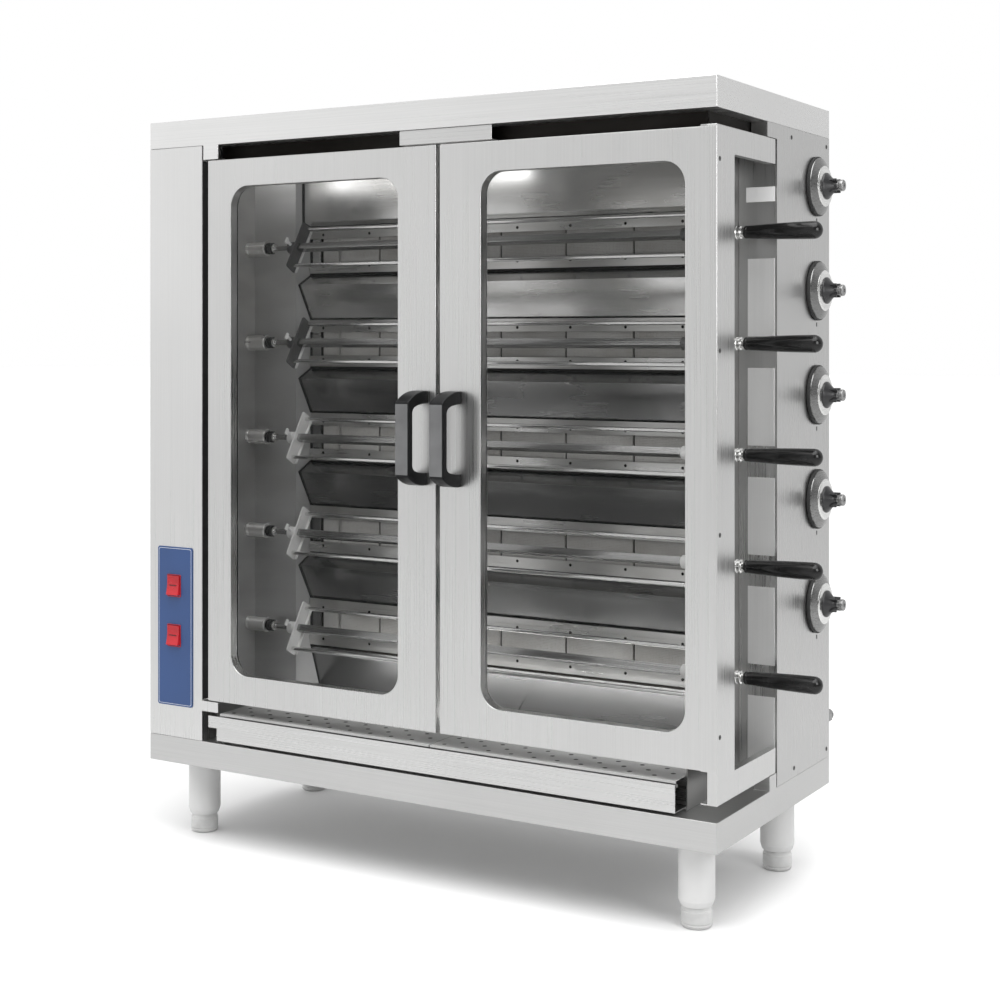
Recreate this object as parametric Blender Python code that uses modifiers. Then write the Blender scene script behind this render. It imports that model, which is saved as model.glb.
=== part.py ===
"""Commercial five-spit rotisserie oven: a sheet-steel cabinet on four legs.

Cabinet coordinates are metres: x from the left side, y back from the front
plane, z up from the floor. at() turns them into the model's own frame, whose
origin is on the floor under the middle of the whole object.
"""
import math

import bmesh
import bpy
from mathutils import Euler, Matrix, Vector

# Driving dimensions of the cabinet
WIDTH = 1.220
DEPTH = 0.520
LEG_HEIGHT = 0.150
BODY_HEIGHT = 1.262
SHEET = 0.002
GAP = 0.0003            # between pieces that rest on or pass each other
OVERSHOOT = 0.010       # how far a cutter runs past the surface that it cuts
OVERLAP = 0.001         # how far joined shapes run into each other
DOOR_HANDLE_REACH = 0.062
INLET_REACH = 0.062
SPIT_HANDLE_REACH = 0.107

# Heights
DECK_TOP = LEG_HEIGHT + 0.051
TOP = LEG_HEIGHT + BODY_HEIGHT
CAP_BOTTOM = TOP - 0.052
DOOR_BOTTOM = LEG_HEIGHT + 0.132
DOOR_TOP = LEG_HEIGHT + 1.180
RETURN_BOTTOM = LEG_HEIGHT + 0.0775
RETURN_TOP = LEG_HEIGHT + 1.183
PANEL_BOTTOM = DECK_TOP + GAP
PANEL_TOP = CAP_BOTTOM - GAP

# Doors
COLUMN_RIGHT = 0.134
LEFT_DOOR = (0.149, 0.677)
RIGHT_DOOR = (0.6856, WIDTH)
LEFT_WINDOW = (0.206, 0.595)
RIGHT_WINDOW = (0.771, 1.163)
WINDOW_HEIGHTS = (LEG_HEIGHT + 0.188, LEG_HEIGHT + 1.127)
WINDOW_CORNER = 0.040
DOOR_THICKNESS = 0.020
GLASS = 0.004
GLASS_OVERLAP = 0.010
LEFT_PIVOT = (0.156, 0.012)
RIGHT_PIVOT = (1.207, 0.2395)
PIN_RADIUS = 0.004
RETURN_DEPTH = 0.2525
RETURN_STILE = 0.072
RETURN_ARM = 0.044
RETURN_FLANGE = 0.030
CORNER_FLANGE = 0.017
HINGE_PLATE = (0.174, 0.024, 0.020)     # right edge, depth and height of the left door's plates
BRACKET_LEFT = 1.190
HANDLE_HEIGHT = LEG_HEIGHT + 0.657
HANDLE_WIDTH = 0.0285
HANDLE_OFFSET = 0.036

# Cooking chamber
CHAMBER_LEFT = 0.092
CHAMBER_RIGHT = 1.148
RECESS_BACK = 0.260
LEVELS = 5
LEVEL_PITCH = 0.192
FIRST_SPIT = LEG_HEIGHT + 0.250
SPIT_Y = 0.195
SPIT_TILT = math.radians(-31)
CEILING = (0.026, 0.260)
SHIELD = (0.179, 0.214, 0.2375, 0.333)   # right face, start, corner and back of the corner shield
CHAMBER_FLOOR = LEG_HEIGHT + 0.1125
REFLECTOR_FRONT = 0.248
REFLECTOR_BACK = 0.2885
BURNER_X = (0.2064, 1.0790)
BURNER_Y = (0.283, 0.385)
BURNER_RISE = (-0.044, 0.038)
MIXER_Y = 0.365
MIXER_LENGTH = 0.058
MIXER_RISE = -0.003
TRAY_LEFT = 0.171
TRAY_FRONT_LEFT = 0.150
TRAY_SHEET = 0.0015
CHANNEL_DEPTH = 0.048
PAN_BACK = 0.327

# Spit
BAR = 0.014
NECK_RADIUS = 0.010
NOTCH_RADIUS = 0.0105
BAR_SPAN = (0.196, 1.136)
DRIVE_END = (0.106, 0.139)
SHAFT_RADIUS = 0.005
PLATE_SIZE = (0.004, 0.036, 0.106)
PLATE_X = {"left": 0.218, "right": 1.090}
HUB_LENGTH = 0.022
ROD_RADIUS = 0.004
ROD_OFFSET = 0.043
COLLAR_X = 1.164
GRIP_X = 1.187
TANG_END = 0.118

# Drive
SPINDLE_RADIUS = 0.009
SOCKET_RADIUS = 0.0155
SOCKET_LENGTH = 0.048
SPROCKET_RADIUS = 0.040
SPROCKET_TEETH = 12
SPROCKET_X = 0.028
SPROCKET_WIDTH = 0.005
CHAIN_WIDTH = 0.007
CHAIN_DEPTH = 0.009
MOTOR_SHAFT_RADIUS = 0.006
GEARBOX = ((0.045, 0.145), (0.087, 0.256))
MOTOR_Z = LEG_HEIGHT + 0.115

# Gas
MANIFOLD_X = 1.196
MANIFOLD_Y = 0.454
PIPE_RADIUS = 0.010
INLET_Z = LEG_HEIGHT + 0.115
KNOB_RISE = 0.097

# Controls
PANEL_X = (0.022, 0.111)
PANEL_Z = (LEG_HEIGHT + 0.113, LEG_HEIGHT + 0.425)
ROCKER_X = 0.0645
ROCKER_Z = (LEG_HEIGHT + 0.251, LEG_HEIGHT + 0.349)
ROCKER_WIDTH = 0.030
ROCKER_HEIGHT = 0.038
ROCKER_PROUD = 0.0085
ROCKER_TILT = math.radians(-6)

# Legs
LEG_INSET = (0.072, 0.080)
SLEEVE_RADIUS = 0.0315
FOOT_RADIUS = 0.0265
FOOT_SHOWING = 0.037

ORIGIN = Vector(((WIDTH + SPIT_HANDLE_REACH) / 2, DEPTH / 2, 0))

COLOURS = {
    "stainless": ((0.72, 0.72, 0.71), 0.32, 1.0),
    "dark_steel": ((0.36, 0.36, 0.36), 0.35, 1.0),
    "bright_steel": ((0.80, 0.80, 0.79), 0.18, 1.0),
    "ceramic": ((0.70, 0.68, 0.64), 0.80, 0.0),
    "black_plastic": ((0.02, 0.02, 0.02), 0.35, 0.0),
    "blue_panel": ((0.055, 0.115, 0.30), 0.45, 0.0),
    "red_plastic": ((0.70, 0.03, 0.03), 0.30, 0.0),
    "glass": ((0.90, 0.93, 0.92), 0.05, 0.0),
    "grey_foot": ((0.62, 0.62, 0.61), 0.45, 0.0),
    "brass": ((0.70, 0.52, 0.25), 0.30, 1.0),
}


def at(x, y, z):
    """Cabinet coordinates to the model's frame."""
    return Vector((x, y, z)) - ORIGIN


def clear_scene():
    for obj in list(bpy.data.objects):
        bpy.data.objects.remove(obj)


def new_collection(name):
    collection = bpy.data.collections.new(name)
    bpy.context.scene.collection.children.link(collection)
    return collection


def make_material(name):
    colour, roughness, metallic = COLOURS[name]
    material = bpy.data.materials.new(name)
    material.use_nodes = True
    shader = material.node_tree.nodes["Principled BSDF"]
    shader.inputs["Base Color"].default_value = (*colour, 1)
    shader.inputs["Roughness"].default_value = roughness
    shader.inputs["Metallic"].default_value = metallic
    if name == "glass":
        shader.inputs["Transmission Weight"].default_value = 1.0
    return material


clear_scene()
PARTS = new_collection("rotisserie_oven")
CUTTERS = new_collection("cutters")
MATERIALS = {name: make_material(name) for name in COLOURS}


def add(name, mesh, location, material):
    """Link a mesh as a visible sub-part, or as a hidden tool when it has no material."""
    obj = bpy.data.objects.new(name, mesh)
    obj.location = location
    if material:
        PARTS.objects.link(obj)
        mesh.materials.append(MATERIALS[material])
    else:
        CUTTERS.objects.link(obj)
        obj.hide_render = True
        obj.display_type = "WIRE"
    return obj


def box(name, low, high, material=None):
    """A block between two corners in cabinet coordinates."""
    low, high = Vector(low), Vector(high)
    bm = bmesh.new()
    bmesh.ops.create_cube(bm, size=1, matrix=Matrix.Diagonal((*(high - low), 1)))
    mesh = bpy.data.meshes.new(name)
    bm.to_mesh(mesh)
    bm.free()
    return add(name, mesh, at(*((low + high) / 2)), material)


def axis_turn(axis):
    """Rotation that carries +Z to the named axis."""
    turns = {"x": (0, math.pi / 2, 0), "y": (-math.pi / 2, 0, 0), "z": (0, 0, 0)}
    return Euler(turns[axis])


def cylinder(name, start, axis, length, radius, material=None, segments=16):
    """A round bar that starts at a point and runs along +axis."""
    bm = bmesh.new()
    turn = axis_turn(axis).to_matrix().to_4x4()
    bmesh.ops.create_cone(bm, cap_ends=True, segments=segments, radius1=radius, radius2=radius,
                          depth=length, matrix=turn @ Matrix.Translation((0, 0, length / 2)))
    mesh = bpy.data.meshes.new(name)
    bm.to_mesh(mesh)
    bm.free()
    mesh.shade_smooth()
    mesh.set_sharp_from_angle(angle=math.radians(40))
    return add(name, mesh, at(*start), material)


def bore(name, start, axis, length, radius, segments=12):
    """A cutter whose flats, not its corners, lie on the radius."""
    return cylinder(name, start, axis, length, radius / math.cos(math.pi / segments), segments=segments)


def turned(name, start, axis, profile, material=None, steps=24):
    """A turned shape: profile is (radius, distance along the axis), from far end to near end."""
    bm = bmesh.new()
    points = [bm.verts.new((radius, 0, height)) for radius, height in profile]
    for first, second in zip(points, points[1:]):
        bm.edges.new((first, second))
    mesh = bpy.data.meshes.new(name)
    bm.to_mesh(mesh)
    bm.free()
    obj = add(name, mesh, at(*start), material)
    obj.rotation_euler = axis_turn(axis)
    screw = obj.modifiers.new("turn", "SCREW")
    screw.steps = steps
    screw.render_steps = steps
    screw.use_merge_vertices = True
    screw.merge_threshold = 1e-5
    return obj


PLANES = {
    "xy": (Euler((0, 0, 0)), (0, 1, 2)),
    "xz": (Euler((math.pi / 2, 0, 0)), (0, 2, 1)),
    "yz": (Euler((math.pi / 2, 0, math.pi / 2)), (1, 2, 0)),
}


def curve_mesh(name, loops, half, closed):
    """Flat loops swept by half a thickness each way, as a welded mesh."""
    curve = bpy.data.curves.new(name, "CURVE")
    curve.dimensions = "2D"
    curve.fill_mode = "BOTH" if closed else "NONE"
    curve.extrude = half
    for loop in loops:
        spline = curve.splines.new("POLY")
        spline.points.add(len(loop) - 1)
        spline.use_cyclic_u = closed
        for point, (u, v) in zip(spline.points, loop):
            point.co = (u, v, 0, 1)
    source = bpy.data.objects.new(name, curve)
    CUTTERS.objects.link(source)
    depsgraph = bpy.context.evaluated_depsgraph_get()
    mesh = bpy.data.meshes.new_from_object(source.evaluated_get(depsgraph))
    bpy.data.objects.remove(source)
    bm = bmesh.new()
    bm.from_mesh(mesh)
    bmesh.ops.remove_doubles(bm, verts=bm.verts, dist=1e-5)
    bm.to_mesh(mesh)
    bm.free()
    return mesh


def swept(name, plane, loops, low, high, material, closed):
    """Loops in a plane of cabinet coordinates, swept between two places on the third axis."""
    turn, (u_axis, v_axis, w_axis) = PLANES[plane]
    centre_u, centre_v = loops[0][0]
    local = [[(u - centre_u, v - centre_v) for u, v in loop] for loop in loops]
    mesh = curve_mesh(name, local, (high - low) / 2, closed)
    place = [0, 0, 0]
    place[u_axis] = centre_u
    place[v_axis] = centre_v
    place[w_axis] = (low + high) / 2
    obj = add(name, mesh, at(*place), material)
    obj.rotation_euler = turn
    return obj


def prism(name, plane, loops, low, high, material=None):
    """A solid plate from closed outlines; inner outlines are holes."""
    return swept(name, plane, loops, low, high, material, closed=True)


def folded(name, plane, points, low, high, material=None, thickness=SHEET):
    """Sheet metal bent along a line of points, its thickness centred on them."""
    obj = swept(name, plane, [points], low, high, material, closed=False)
    solid = obj.modifiers.new("sheet", "SOLIDIFY")
    solid.thickness = thickness
    solid.offset = 0
    solid.use_even_offset = True
    return obj


def tube(name, points, radius, material=None):
    """A bent round pipe through points in cabinet coordinates."""
    curve = bpy.data.curves.new(name, "CURVE")
    curve.dimensions = "3D"
    curve.bevel_depth = radius
    curve.bevel_resolution = 1
    curve.use_fill_caps = True
    spline = curve.splines.new("POLY")
    spline.points.add(len(points) - 1)
    for point, place in zip(spline.points, points):
        point.co = (*(Vector(place) - Vector(points[0])), 1)
    source = bpy.data.objects.new(name, curve)
    CUTTERS.objects.link(source)
    depsgraph = bpy.context.evaluated_depsgraph_get()
    mesh = bpy.data.meshes.new_from_object(source.evaluated_get(depsgraph))
    bpy.data.objects.remove(source)
    bm = bmesh.new()
    bm.from_mesh(mesh)
    bmesh.ops.remove_doubles(bm, verts=bm.verts, dist=1e-5)
    bmesh.ops.recalc_face_normals(bm, faces=bm.faces)
    bm.to_mesh(mesh)
    bm.free()
    return add(name, mesh, at(*points[0]), material)


def combine(target, tools, operation):
    for tool in tools:
        boolean = target.modifiers.new(tool.name, "BOOLEAN")
        boolean.operation = operation
        boolean.solver = "EXACT"
        boolean.object = tool
    return target


def cut(target, *tools):
    return combine(target, tools, "DIFFERENCE")


def join(target, *tools):
    return combine(target, tools, "UNION")


def rectangle(low_u, high_u, low_v, high_v, radius=0.0, steps=4):
    """A counter-clockwise rectangle, with round corners where a radius is given."""
    if radius == 0:
        return [(low_u, low_v), (high_u, low_v), (high_u, high_v), (low_u, high_v)]
    centres = [(high_u - radius, high_v - radius), (low_u + radius, high_v - radius),
               (low_u + radius, low_v + radius), (high_u - radius, low_v + radius)]
    points = []
    for quarter, (u, v) in enumerate(centres):
        for step in range(steps + 1):
            angle = math.pi / 2 * (quarter + step / steps)
            points.append((u + radius * math.cos(angle), v + radius * math.sin(angle)))
    return points


def hang(pivot_name, place, *pieces):
    """Parent moving pieces to an empty on their joint's axis."""
    pivot = bpy.data.objects.new(pivot_name, None)
    PARTS.objects.link(pivot)
    pivot.location = at(*place)
    for piece in pieces:
        piece.parent = pivot
        piece.matrix_parent_inverse = Matrix.Translation(-pivot.location)
    return pivot


def level_height(level):
    return FIRST_SPIT + LEVEL_PITCH * level


# Cabinet


def base_frame():
    """Shallow pan open below, with the right door's lower hinge bracket and pin."""
    base = box("base_frame", (0, 0, LEG_HEIGHT), (WIDTH, DEPTH, DECK_TOP), "stainless")
    hollow = box("base_hollow", (SHEET, SHEET, LEG_HEIGHT - OVERSHOOT),
                 (WIDTH - SHEET, DEPTH - SHEET, DECK_TOP - SHEET))
    bracket = box("base_bracket", (BRACKET_LEFT, 0.226, DECK_TOP - OVERLAP),
                  (WIDTH, 0.2565, RETURN_BOTTOM - 2 * GAP))
    pin = cylinder("base_pin", (*RIGHT_PIVOT, DECK_TOP + 0.010), "z", 0.024, PIN_RADIUS)
    cut(base, hollow)
    join(base, bracket, pin)


def leg(name, x, y):
    """Tubular sleeve with a chamfered end, and the levelling foot that slides in it."""
    sleeve_top = DECK_TOP - SHEET - GAP
    bore_top = LEG_HEIGHT + 0.0053
    chamfer = 0.010
    bore_radius = FOOT_RADIUS + GAP
    sleeve_profile = [(0, sleeve_top), (SLEEVE_RADIUS, sleeve_top),
                      (SLEEVE_RADIUS, FOOT_SHOWING + chamfer), (SLEEVE_RADIUS - 0.003, FOOT_SHOWING),
                      (bore_radius, FOOT_SHOWING), (bore_radius, bore_top), (0, bore_top)]
    turned("leg_sleeve_" + name, (x, y, 0), "z", sleeve_profile, "stainless")
    foot_profile = [(0, bore_top - GAP), (FOOT_RADIUS, bore_top - GAP), (FOOT_RADIUS, 0.007),
                    (FOOT_RADIUS - 0.002, 0.002), (FOOT_RADIUS - 0.006, 0), (0, 0)]
    foot = turned("levelling_foot_" + name, (x, y, 0), "z", foot_profile, "grey_foot")
    hang("foot_slide_" + name, (x, y, 0), foot)


def legs():
    inset_x, inset_y = LEG_INSET
    for side, x in (("left", inset_x), ("right", WIDTH - inset_x)):
        for end, y in (("front", inset_y), ("rear", DEPTH - inset_y)):
            leg(f"{end}_{side}", x, y)


def left_side_panel():
    """Outer left sheet with a row of cooling slots beside the motor."""
    panel = box("left_side_panel", (0, 0.0213, PANEL_BOTTOM), (SHEET, DEPTH - SHEET - GAP, PANEL_TOP),
                "stainless")
    slot_y, slot_height, pitch = (0.330, 0.430), 0.006, 0.018
    for row in range(5):
        z = MOTOR_Z - 0.030 + pitch * row
        cut(panel, box(f"cooling_slot_{row}", (-OVERSHOOT, slot_y[0], z),
                       (OVERSHOOT, slot_y[1], z + slot_height)))


def front_column():
    """Front sheet of the drive compartment, returned to the chamber wall; it carries the
    left door's lower hinge plate and pin."""
    edge = SHEET / 2
    return_y = 0.041
    points = [(edge, 0.021), (edge, edge), (COLUMN_RIGHT - edge, edge), (COLUMN_RIGHT - edge, return_y),
              (CHAMBER_LEFT + 0.0005, return_y)]
    column = folded("front_column", "xy", points, PANEL_BOTTOM, PANEL_TOP, "stainless")
    right, depth, height = HINGE_PLATE
    top = DOOR_BOTTOM - 0.002
    front = box("lower_hinge_front", (COLUMN_RIGHT - edge, 0, top - height), (right, SHEET, top))
    shelf = box("lower_hinge_shelf", (COLUMN_RIGHT - edge, edge, top - SHEET), (right, depth, top))
    pin = cylinder("lower_hinge_pin", (*LEFT_PIVOT, top - edge), "z", 0.010, PIN_RADIUS)
    join(column, front, shelf, pin)
    half_width, half_height = 0.0192, 0.0237
    for index, z in enumerate(ROCKER_Z):
        cut(column, box(f"switch_hole_{index}", (ROCKER_X - half_width, -OVERSHOOT, z - half_height),
                        (ROCKER_X + half_width, OVERSHOOT, z + half_height)))


def right_side_panel():
    """Fixed side sheet, folded in at its front edge to close the recess; it carries the
    right door's upper hinge bracket and pin."""
    edge = SHEET / 2
    points = [(CHAMBER_RIGHT + GAP, RECESS_BACK), (WIDTH - edge, RECESS_BACK),
              (WIDTH - edge, DEPTH - SHEET - GAP)]
    panel = folded("right_side_panel", "xy", points, PANEL_BOTTOM, PANEL_TOP, "stainless")
    bracket = box("upper_hinge_bracket", (BRACKET_LEFT, 0.215, RETURN_TOP + 2 * GAP),
                  (WIDTH, RECESS_BACK, PANEL_TOP))
    pin = cylinder("upper_hinge_pin", (*RIGHT_PIVOT, RETURN_TOP - 0.008), "z", 0.020, PIN_RADIUS)
    join(panel, bracket, pin)
    for level in range(LEVELS):
        place = (WIDTH - OVERSHOOT, MANIFOLD_Y, level_height(level) + KNOB_RISE)
        cut(panel, bore(f"stem_hole_{level}", place, "x", 2 * OVERSHOOT, 0.008))


def back_panel():
    """Rear sheet with heat slots near its top and the gas inlet's hole."""
    panel = box("back_panel", (0, DEPTH - SHEET, PANEL_BOTTOM), (WIDTH, DEPTH, PANEL_TOP), "stainless")
    slot_width, slot_height = 0.110, 0.008
    for column in range(6):
        x = 0.170 + 0.155 * column
        for row in range(2):
            z = CAP_BOTTOM - 0.070 - 0.022 * row
            cut(panel, box(f"heat_slot_{column}_{row}", (x, DEPTH - OVERSHOOT, z),
                           (x + slot_width, DEPTH + OVERSHOOT, z + slot_height)))
    inlet = (MANIFOLD_X, DEPTH - OVERSHOOT, INLET_Z)
    cut(panel, bore("inlet_hole", inlet, "y", 2 * OVERSHOOT, PIPE_RADIUS + 0.001, 16))


def top_cover():
    """Cap open below, with an inner lip and the left door's upper hinge plate and pin."""
    lip = 0.060
    cap = box("top_cover", (0, 0, CAP_BOTTOM), (WIDTH, DEPTH, TOP), "stainless")
    hollow = box("cap_hollow", (SHEET, SHEET, CAP_BOTTOM + SHEET),
                 (WIDTH - SHEET, DEPTH - SHEET, TOP - SHEET))
    mouth = box("cap_mouth", (lip, lip, CAP_BOTTOM - OVERSHOOT),
                (WIDTH - lip, DEPTH - lip, CAP_BOTTOM + OVERSHOOT))
    left, (right, depth, _) = 0.137, HINGE_PLATE
    plate = DOOR_TOP + 0.002
    front = box("upper_hinge_front", (left, 0, plate), (right, SHEET, CAP_BOTTOM + OVERLAP))
    shelf = box("upper_hinge_shelf", (left, SHEET / 2, plate), (right, depth, plate + SHEET))
    pin = cylinder("upper_left_pin", (*LEFT_PIVOT, plate - 0.009), "z", 0.010, PIN_RADIUS)
    cut(cap, hollow, mouth)
    join(cap, front, shelf, pin)


def top_rail():
    """Recessed channel over the meeting stiles, between the two vent slots."""
    low, high = DOOR_TOP + 0.0045, PANEL_TOP - SHEET / 2
    front, back = 0.007, 0.032
    points = [(back, low), (front, low), (front, high), (back, high)]
    folded("top_rail", "yz", points, 0.595, 0.790, "stainless")


# Cooking chamber


def chamber_left_wall():
    """Drive-side wall with its spindle holes and the shield that closes its rear corner."""
    wall = box("chamber_left_wall", (CHAMBER_LEFT - SHEET, 0.0403, PANEL_BOTTOM),
               (CHAMBER_LEFT, DEPTH - SHEET - GAP, PANEL_TOP), "dark_steel")
    for level in range(LEVELS):
        place = (CHAMBER_LEFT - OVERSHOOT, SPIT_Y, level_height(level))
        cut(wall, bore(f"spindle_hole_{level}", place, "x", 2 * OVERSHOOT, SPINDLE_RADIUS + 0.002))
    face, start, corner, back = SHIELD
    points = [(CHAMBER_LEFT - SHEET / 2, start), (face - SHEET / 2, corner), (face - SHEET / 2, back)]
    join(wall, folded("corner_shield", "xy", points, CHAMBER_FLOOR, DOOR_TOP + 0.0005))


def chamber_right_wall():
    """Spit rest: a flat wall with one open-fronted notch for each spit's neck."""
    wall = box("chamber_right_wall", (CHAMBER_RIGHT - SHEET, 0.043, PANEL_BOTTOM),
               (CHAMBER_RIGHT, 0.340, PANEL_TOP), "stainless")
    for level in range(LEVELS):
        z = level_height(level)
        notch = rectangle(0.020, SPIT_Y + NOTCH_RADIUS, z - NOTCH_RADIUS, z + NOTCH_RADIUS,
                          NOTCH_RADIUS - GAP)
        cut(wall, prism(f"notch_{level}", "yz", [notch], CHAMBER_RIGHT - OVERSHOOT,
                        CHAMBER_RIGHT + OVERSHOOT))


def chamber_ceiling():
    """Ceiling sheet, notched at its front left corner round the column's return."""
    left, right = CHAMBER_LEFT + GAP, CHAMBER_RIGHT - SHEET - GAP
    front, back = CEILING
    notch_x, notch_y = COLUMN_RIGHT + GAP, 0.042 + GAP
    outline = [(notch_x, front), (right, front), (right, back), (left, back),
               (left, notch_y), (notch_x, notch_y)]
    prism("chamber_ceiling", "xy", [outline], DOOR_TOP + 0.001, DOOR_TOP + 0.003, "dark_steel")


def rear_reflector():
    """Zigzag sheet behind the spits: a recess for each burner over a forward ledge."""
    top_y, foot_y = CEILING[1] + 0.0015, 0.317
    points = [(top_y, DOOR_TOP + 0.0007), (top_y, level_height(LEVELS - 1) + 0.056)]
    for level in reversed(range(LEVELS)):
        z = level_height(level)
        points += [(REFLECTOR_BACK, z + 0.047), (REFLECTOR_BACK, z - 0.0525)]
        if level > 0:
            points.append((REFLECTOR_FRONT, z - 0.0735))
    points.append((foot_y, CHAMBER_FLOOR))
    sheet = folded("rear_reflector", "yz", points, SHIELD[0] + GAP, CHAMBER_RIGHT - SHEET - GAP,
                   "dark_steel")
    edge = 0.002
    for level in range(LEVELS):
        z = level_height(level)
        window = box(f"burner_window_{level}",
                     (BURNER_X[0] - edge, REFLECTOR_BACK - OVERSHOOT, z + BURNER_RISE[0] - edge),
                     (BURNER_X[1] + edge, REFLECTOR_BACK + OVERSHOOT, z + BURNER_RISE[1] + edge))
        cut(sheet, window)


def burner(level):
    """Infrared burner: a ceramic face, the gas space behind it and a mixing tube facing its jet."""
    z = level_height(level)
    face, wall = 0.013, 0.002
    low = Vector((BURNER_X[0], BURNER_Y[0], z + BURNER_RISE[0]))
    high = Vector((BURNER_X[1], BURNER_Y[1], z + BURNER_RISE[1]))
    body = box(f"burner_{level + 1}", low, high, "ceramic")
    plenum = box(f"plenum_{level}", low + Vector((wall, face, wall)), high - Vector((wall, wall, wall)))
    start = (BURNER_X[1] - OVERLAP, MIXER_Y, z + MIXER_RISE)
    mixer = cylinder(f"mixer_{level}", start, "x", MIXER_LENGTH, 0.014, segments=12)
    mouth = bore(f"mixer_mouth_{level}", start, "x", MIXER_LENGTH + 2 * OVERLAP + OVERSHOOT, 0.010)
    mouth.location.x -= OVERSHOOT
    cut(body, plenum)
    join(body, mixer)
    cut(body, mouth)


def gas_valve(level):
    """One burner's valve with its jet pipe, as shapes to join, and the bore for the knob's stem."""
    valve_z = level_height(level) + KNOB_RISE
    jet_z = level_height(level) + MIXER_RISE
    valve = cylinder(f"valve_{level}", (MANIFOLD_X - 0.018, MANIFOLD_Y, valve_z), "x", 0.0385, 0.015,
                     segments=12)
    bend_x, turn_x, jet_x = 1.162, 1.152, 1.1445
    route = [(MANIFOLD_X - 0.012, MANIFOLD_Y, valve_z), (bend_x, MANIFOLD_Y, valve_z),
             (turn_x, MIXER_Y, jet_z), (jet_x, MIXER_Y, jet_z)]
    pipe = tube(f"jet_pipe_{level}", route, 0.004)
    stem_bore = bore(f"valve_bore_{level}", (MANIFOLD_X + 0.0035, MANIFOLD_Y, valve_z), "x", 0.020,
                     PIN_RADIUS + GAP)
    return [valve, pipe], stem_bore


def gas_manifold():
    """Upright gas pipe with a valve and a jet pipe for each burner, and the inlet stub behind."""
    bottom, top = INLET_Z - PIPE_RADIUS - 0.003, 1.300
    pipe = cylinder("gas_manifold", (MANIFOLD_X, MANIFOLD_Y, bottom), "z", top - bottom, PIPE_RADIUS, "brass")
    inlet_end = DEPTH + INLET_REACH
    inlet = cylinder("inlet_pipe", (MANIFOLD_X, MANIFOLD_Y, INLET_Z), "y", inlet_end - MANIFOLD_Y,
                     PIPE_RADIUS - 0.0002)
    nut = cylinder("inlet_nut", (MANIFOLD_X, inlet_end - 0.030, INLET_Z), "y", 0.016, 0.0145, segments=6)
    join(pipe, inlet, nut)
    bores = [bore("inlet_bore", (MANIFOLD_X, inlet_end - 0.025, INLET_Z), "y", 0.030, 0.006)]
    for level in range(LEVELS):
        shapes, stem_bore = gas_valve(level)
        join(pipe, *shapes)
        bores.append(stem_bore)
    cut(pipe, *bores)


def gas_knob(level):
    """Stepped control: broad disc, bright ring, cone, neck and end, with a stem into the valve."""
    face = WIDTH + 2 * GAP
    stem = -0.017
    profile = [(0, 0.053), (0.0105, 0.051), (0.0105, 0.045), (0.0085, 0.043), (0.0090, 0.036),
               (0.0235, 0.018), (0.0370, 0.015), (0.0550, 0.007), (0.0550, 0), (PIN_RADIUS, 0),
               (PIN_RADIUS, stem), (0, stem)]
    z = level_height(level) + KNOB_RISE
    place = (face, MANIFOLD_Y, z)
    knob = turned(f"gas_knob_{level + 1}", place, "x", profile, "dark_steel")
    fin_x, half_width, half_height = (0.016, 0.041), 0.0015, 0.017
    for name, turn in (("a", math.radians(45)), ("b", math.radians(-45))):
        fin = box(f"knob_fin_{level}_{name}", (face + fin_x[0], MANIFOLD_Y - half_width, z - half_height),
                  (face + fin_x[1], MANIFOLD_Y + half_width, z + half_height))
        fin.rotation_euler = (turn, 0, 0)
        join(knob, fin)
    hang(f"knob_axis_{level + 1}", place, knob)


# Doors


def door_panel(name, span, window, right_edge):
    """A pan-shaped leaf: front sheet with folded rims round its edge and its window."""
    low, high = WINDOW_HEIGHTS
    outer = rectangle(span[0], right_edge, DOOR_BOTTOM, DOOR_TOP)
    opening = rectangle(*window, low, high, WINDOW_CORNER)
    leaf = prism(name, "xz", [outer, opening], 0, DOOR_THICKNESS, "stainless")
    pocket_outer = rectangle(span[0] + SHEET, right_edge - SHEET, DOOR_BOTTOM + SHEET, DOOR_TOP - SHEET)
    pocket_inner = rectangle(window[0] - SHEET, window[1] + SHEET, low - SHEET, high + SHEET,
                             WINDOW_CORNER + SHEET)
    pocket = prism(name + "_pocket", "xz", [pocket_outer, pocket_inner], SHEET,
                   DOOR_THICKNESS + OVERSHOOT)
    return cut(leaf, pocket)


def door_glass(name, window):
    """Flat pane held behind the window's rim."""
    low, high = WINDOW_HEIGHTS
    back = DOOR_THICKNESS + GAP
    edge = GLASS_OVERLAP
    return box(name, (window[0] - edge, back, low - edge), (window[1] + edge, back + GLASS, high + edge),
               "glass")


def door_handle(name, x):
    """Bow handle: a flat grip carried on two sloping ends."""
    base, grip, thickness = 0.0845, 0.0645, 0.016
    reach = DOOR_HANDLE_REACH
    outer = [(-GAP, base), (-0.024, base - 0.002), (-0.046, base - 0.010), (-reach, grip)]
    inner = [(-reach + thickness, grip - 0.012), (-0.030, grip - 0.006), (-GAP, grip - 0.002)]
    below = [(y, -z) for y, z in outer]
    outline = outer + below[::-1] + [(y, -z) for y, z in inner[::-1]] + inner
    outline = [(y, HANDLE_HEIGHT + z) for y, z in outline]
    return prism(name, "yz", [outline], x - HANDLE_WIDTH / 2, x + HANDLE_WIDTH / 2, "black_plastic")


def pin_hole(name, pivot, low, high):
    return bore(name, (*pivot, low), "z", high - low, PIN_RADIUS + GAP, 16)


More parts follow.
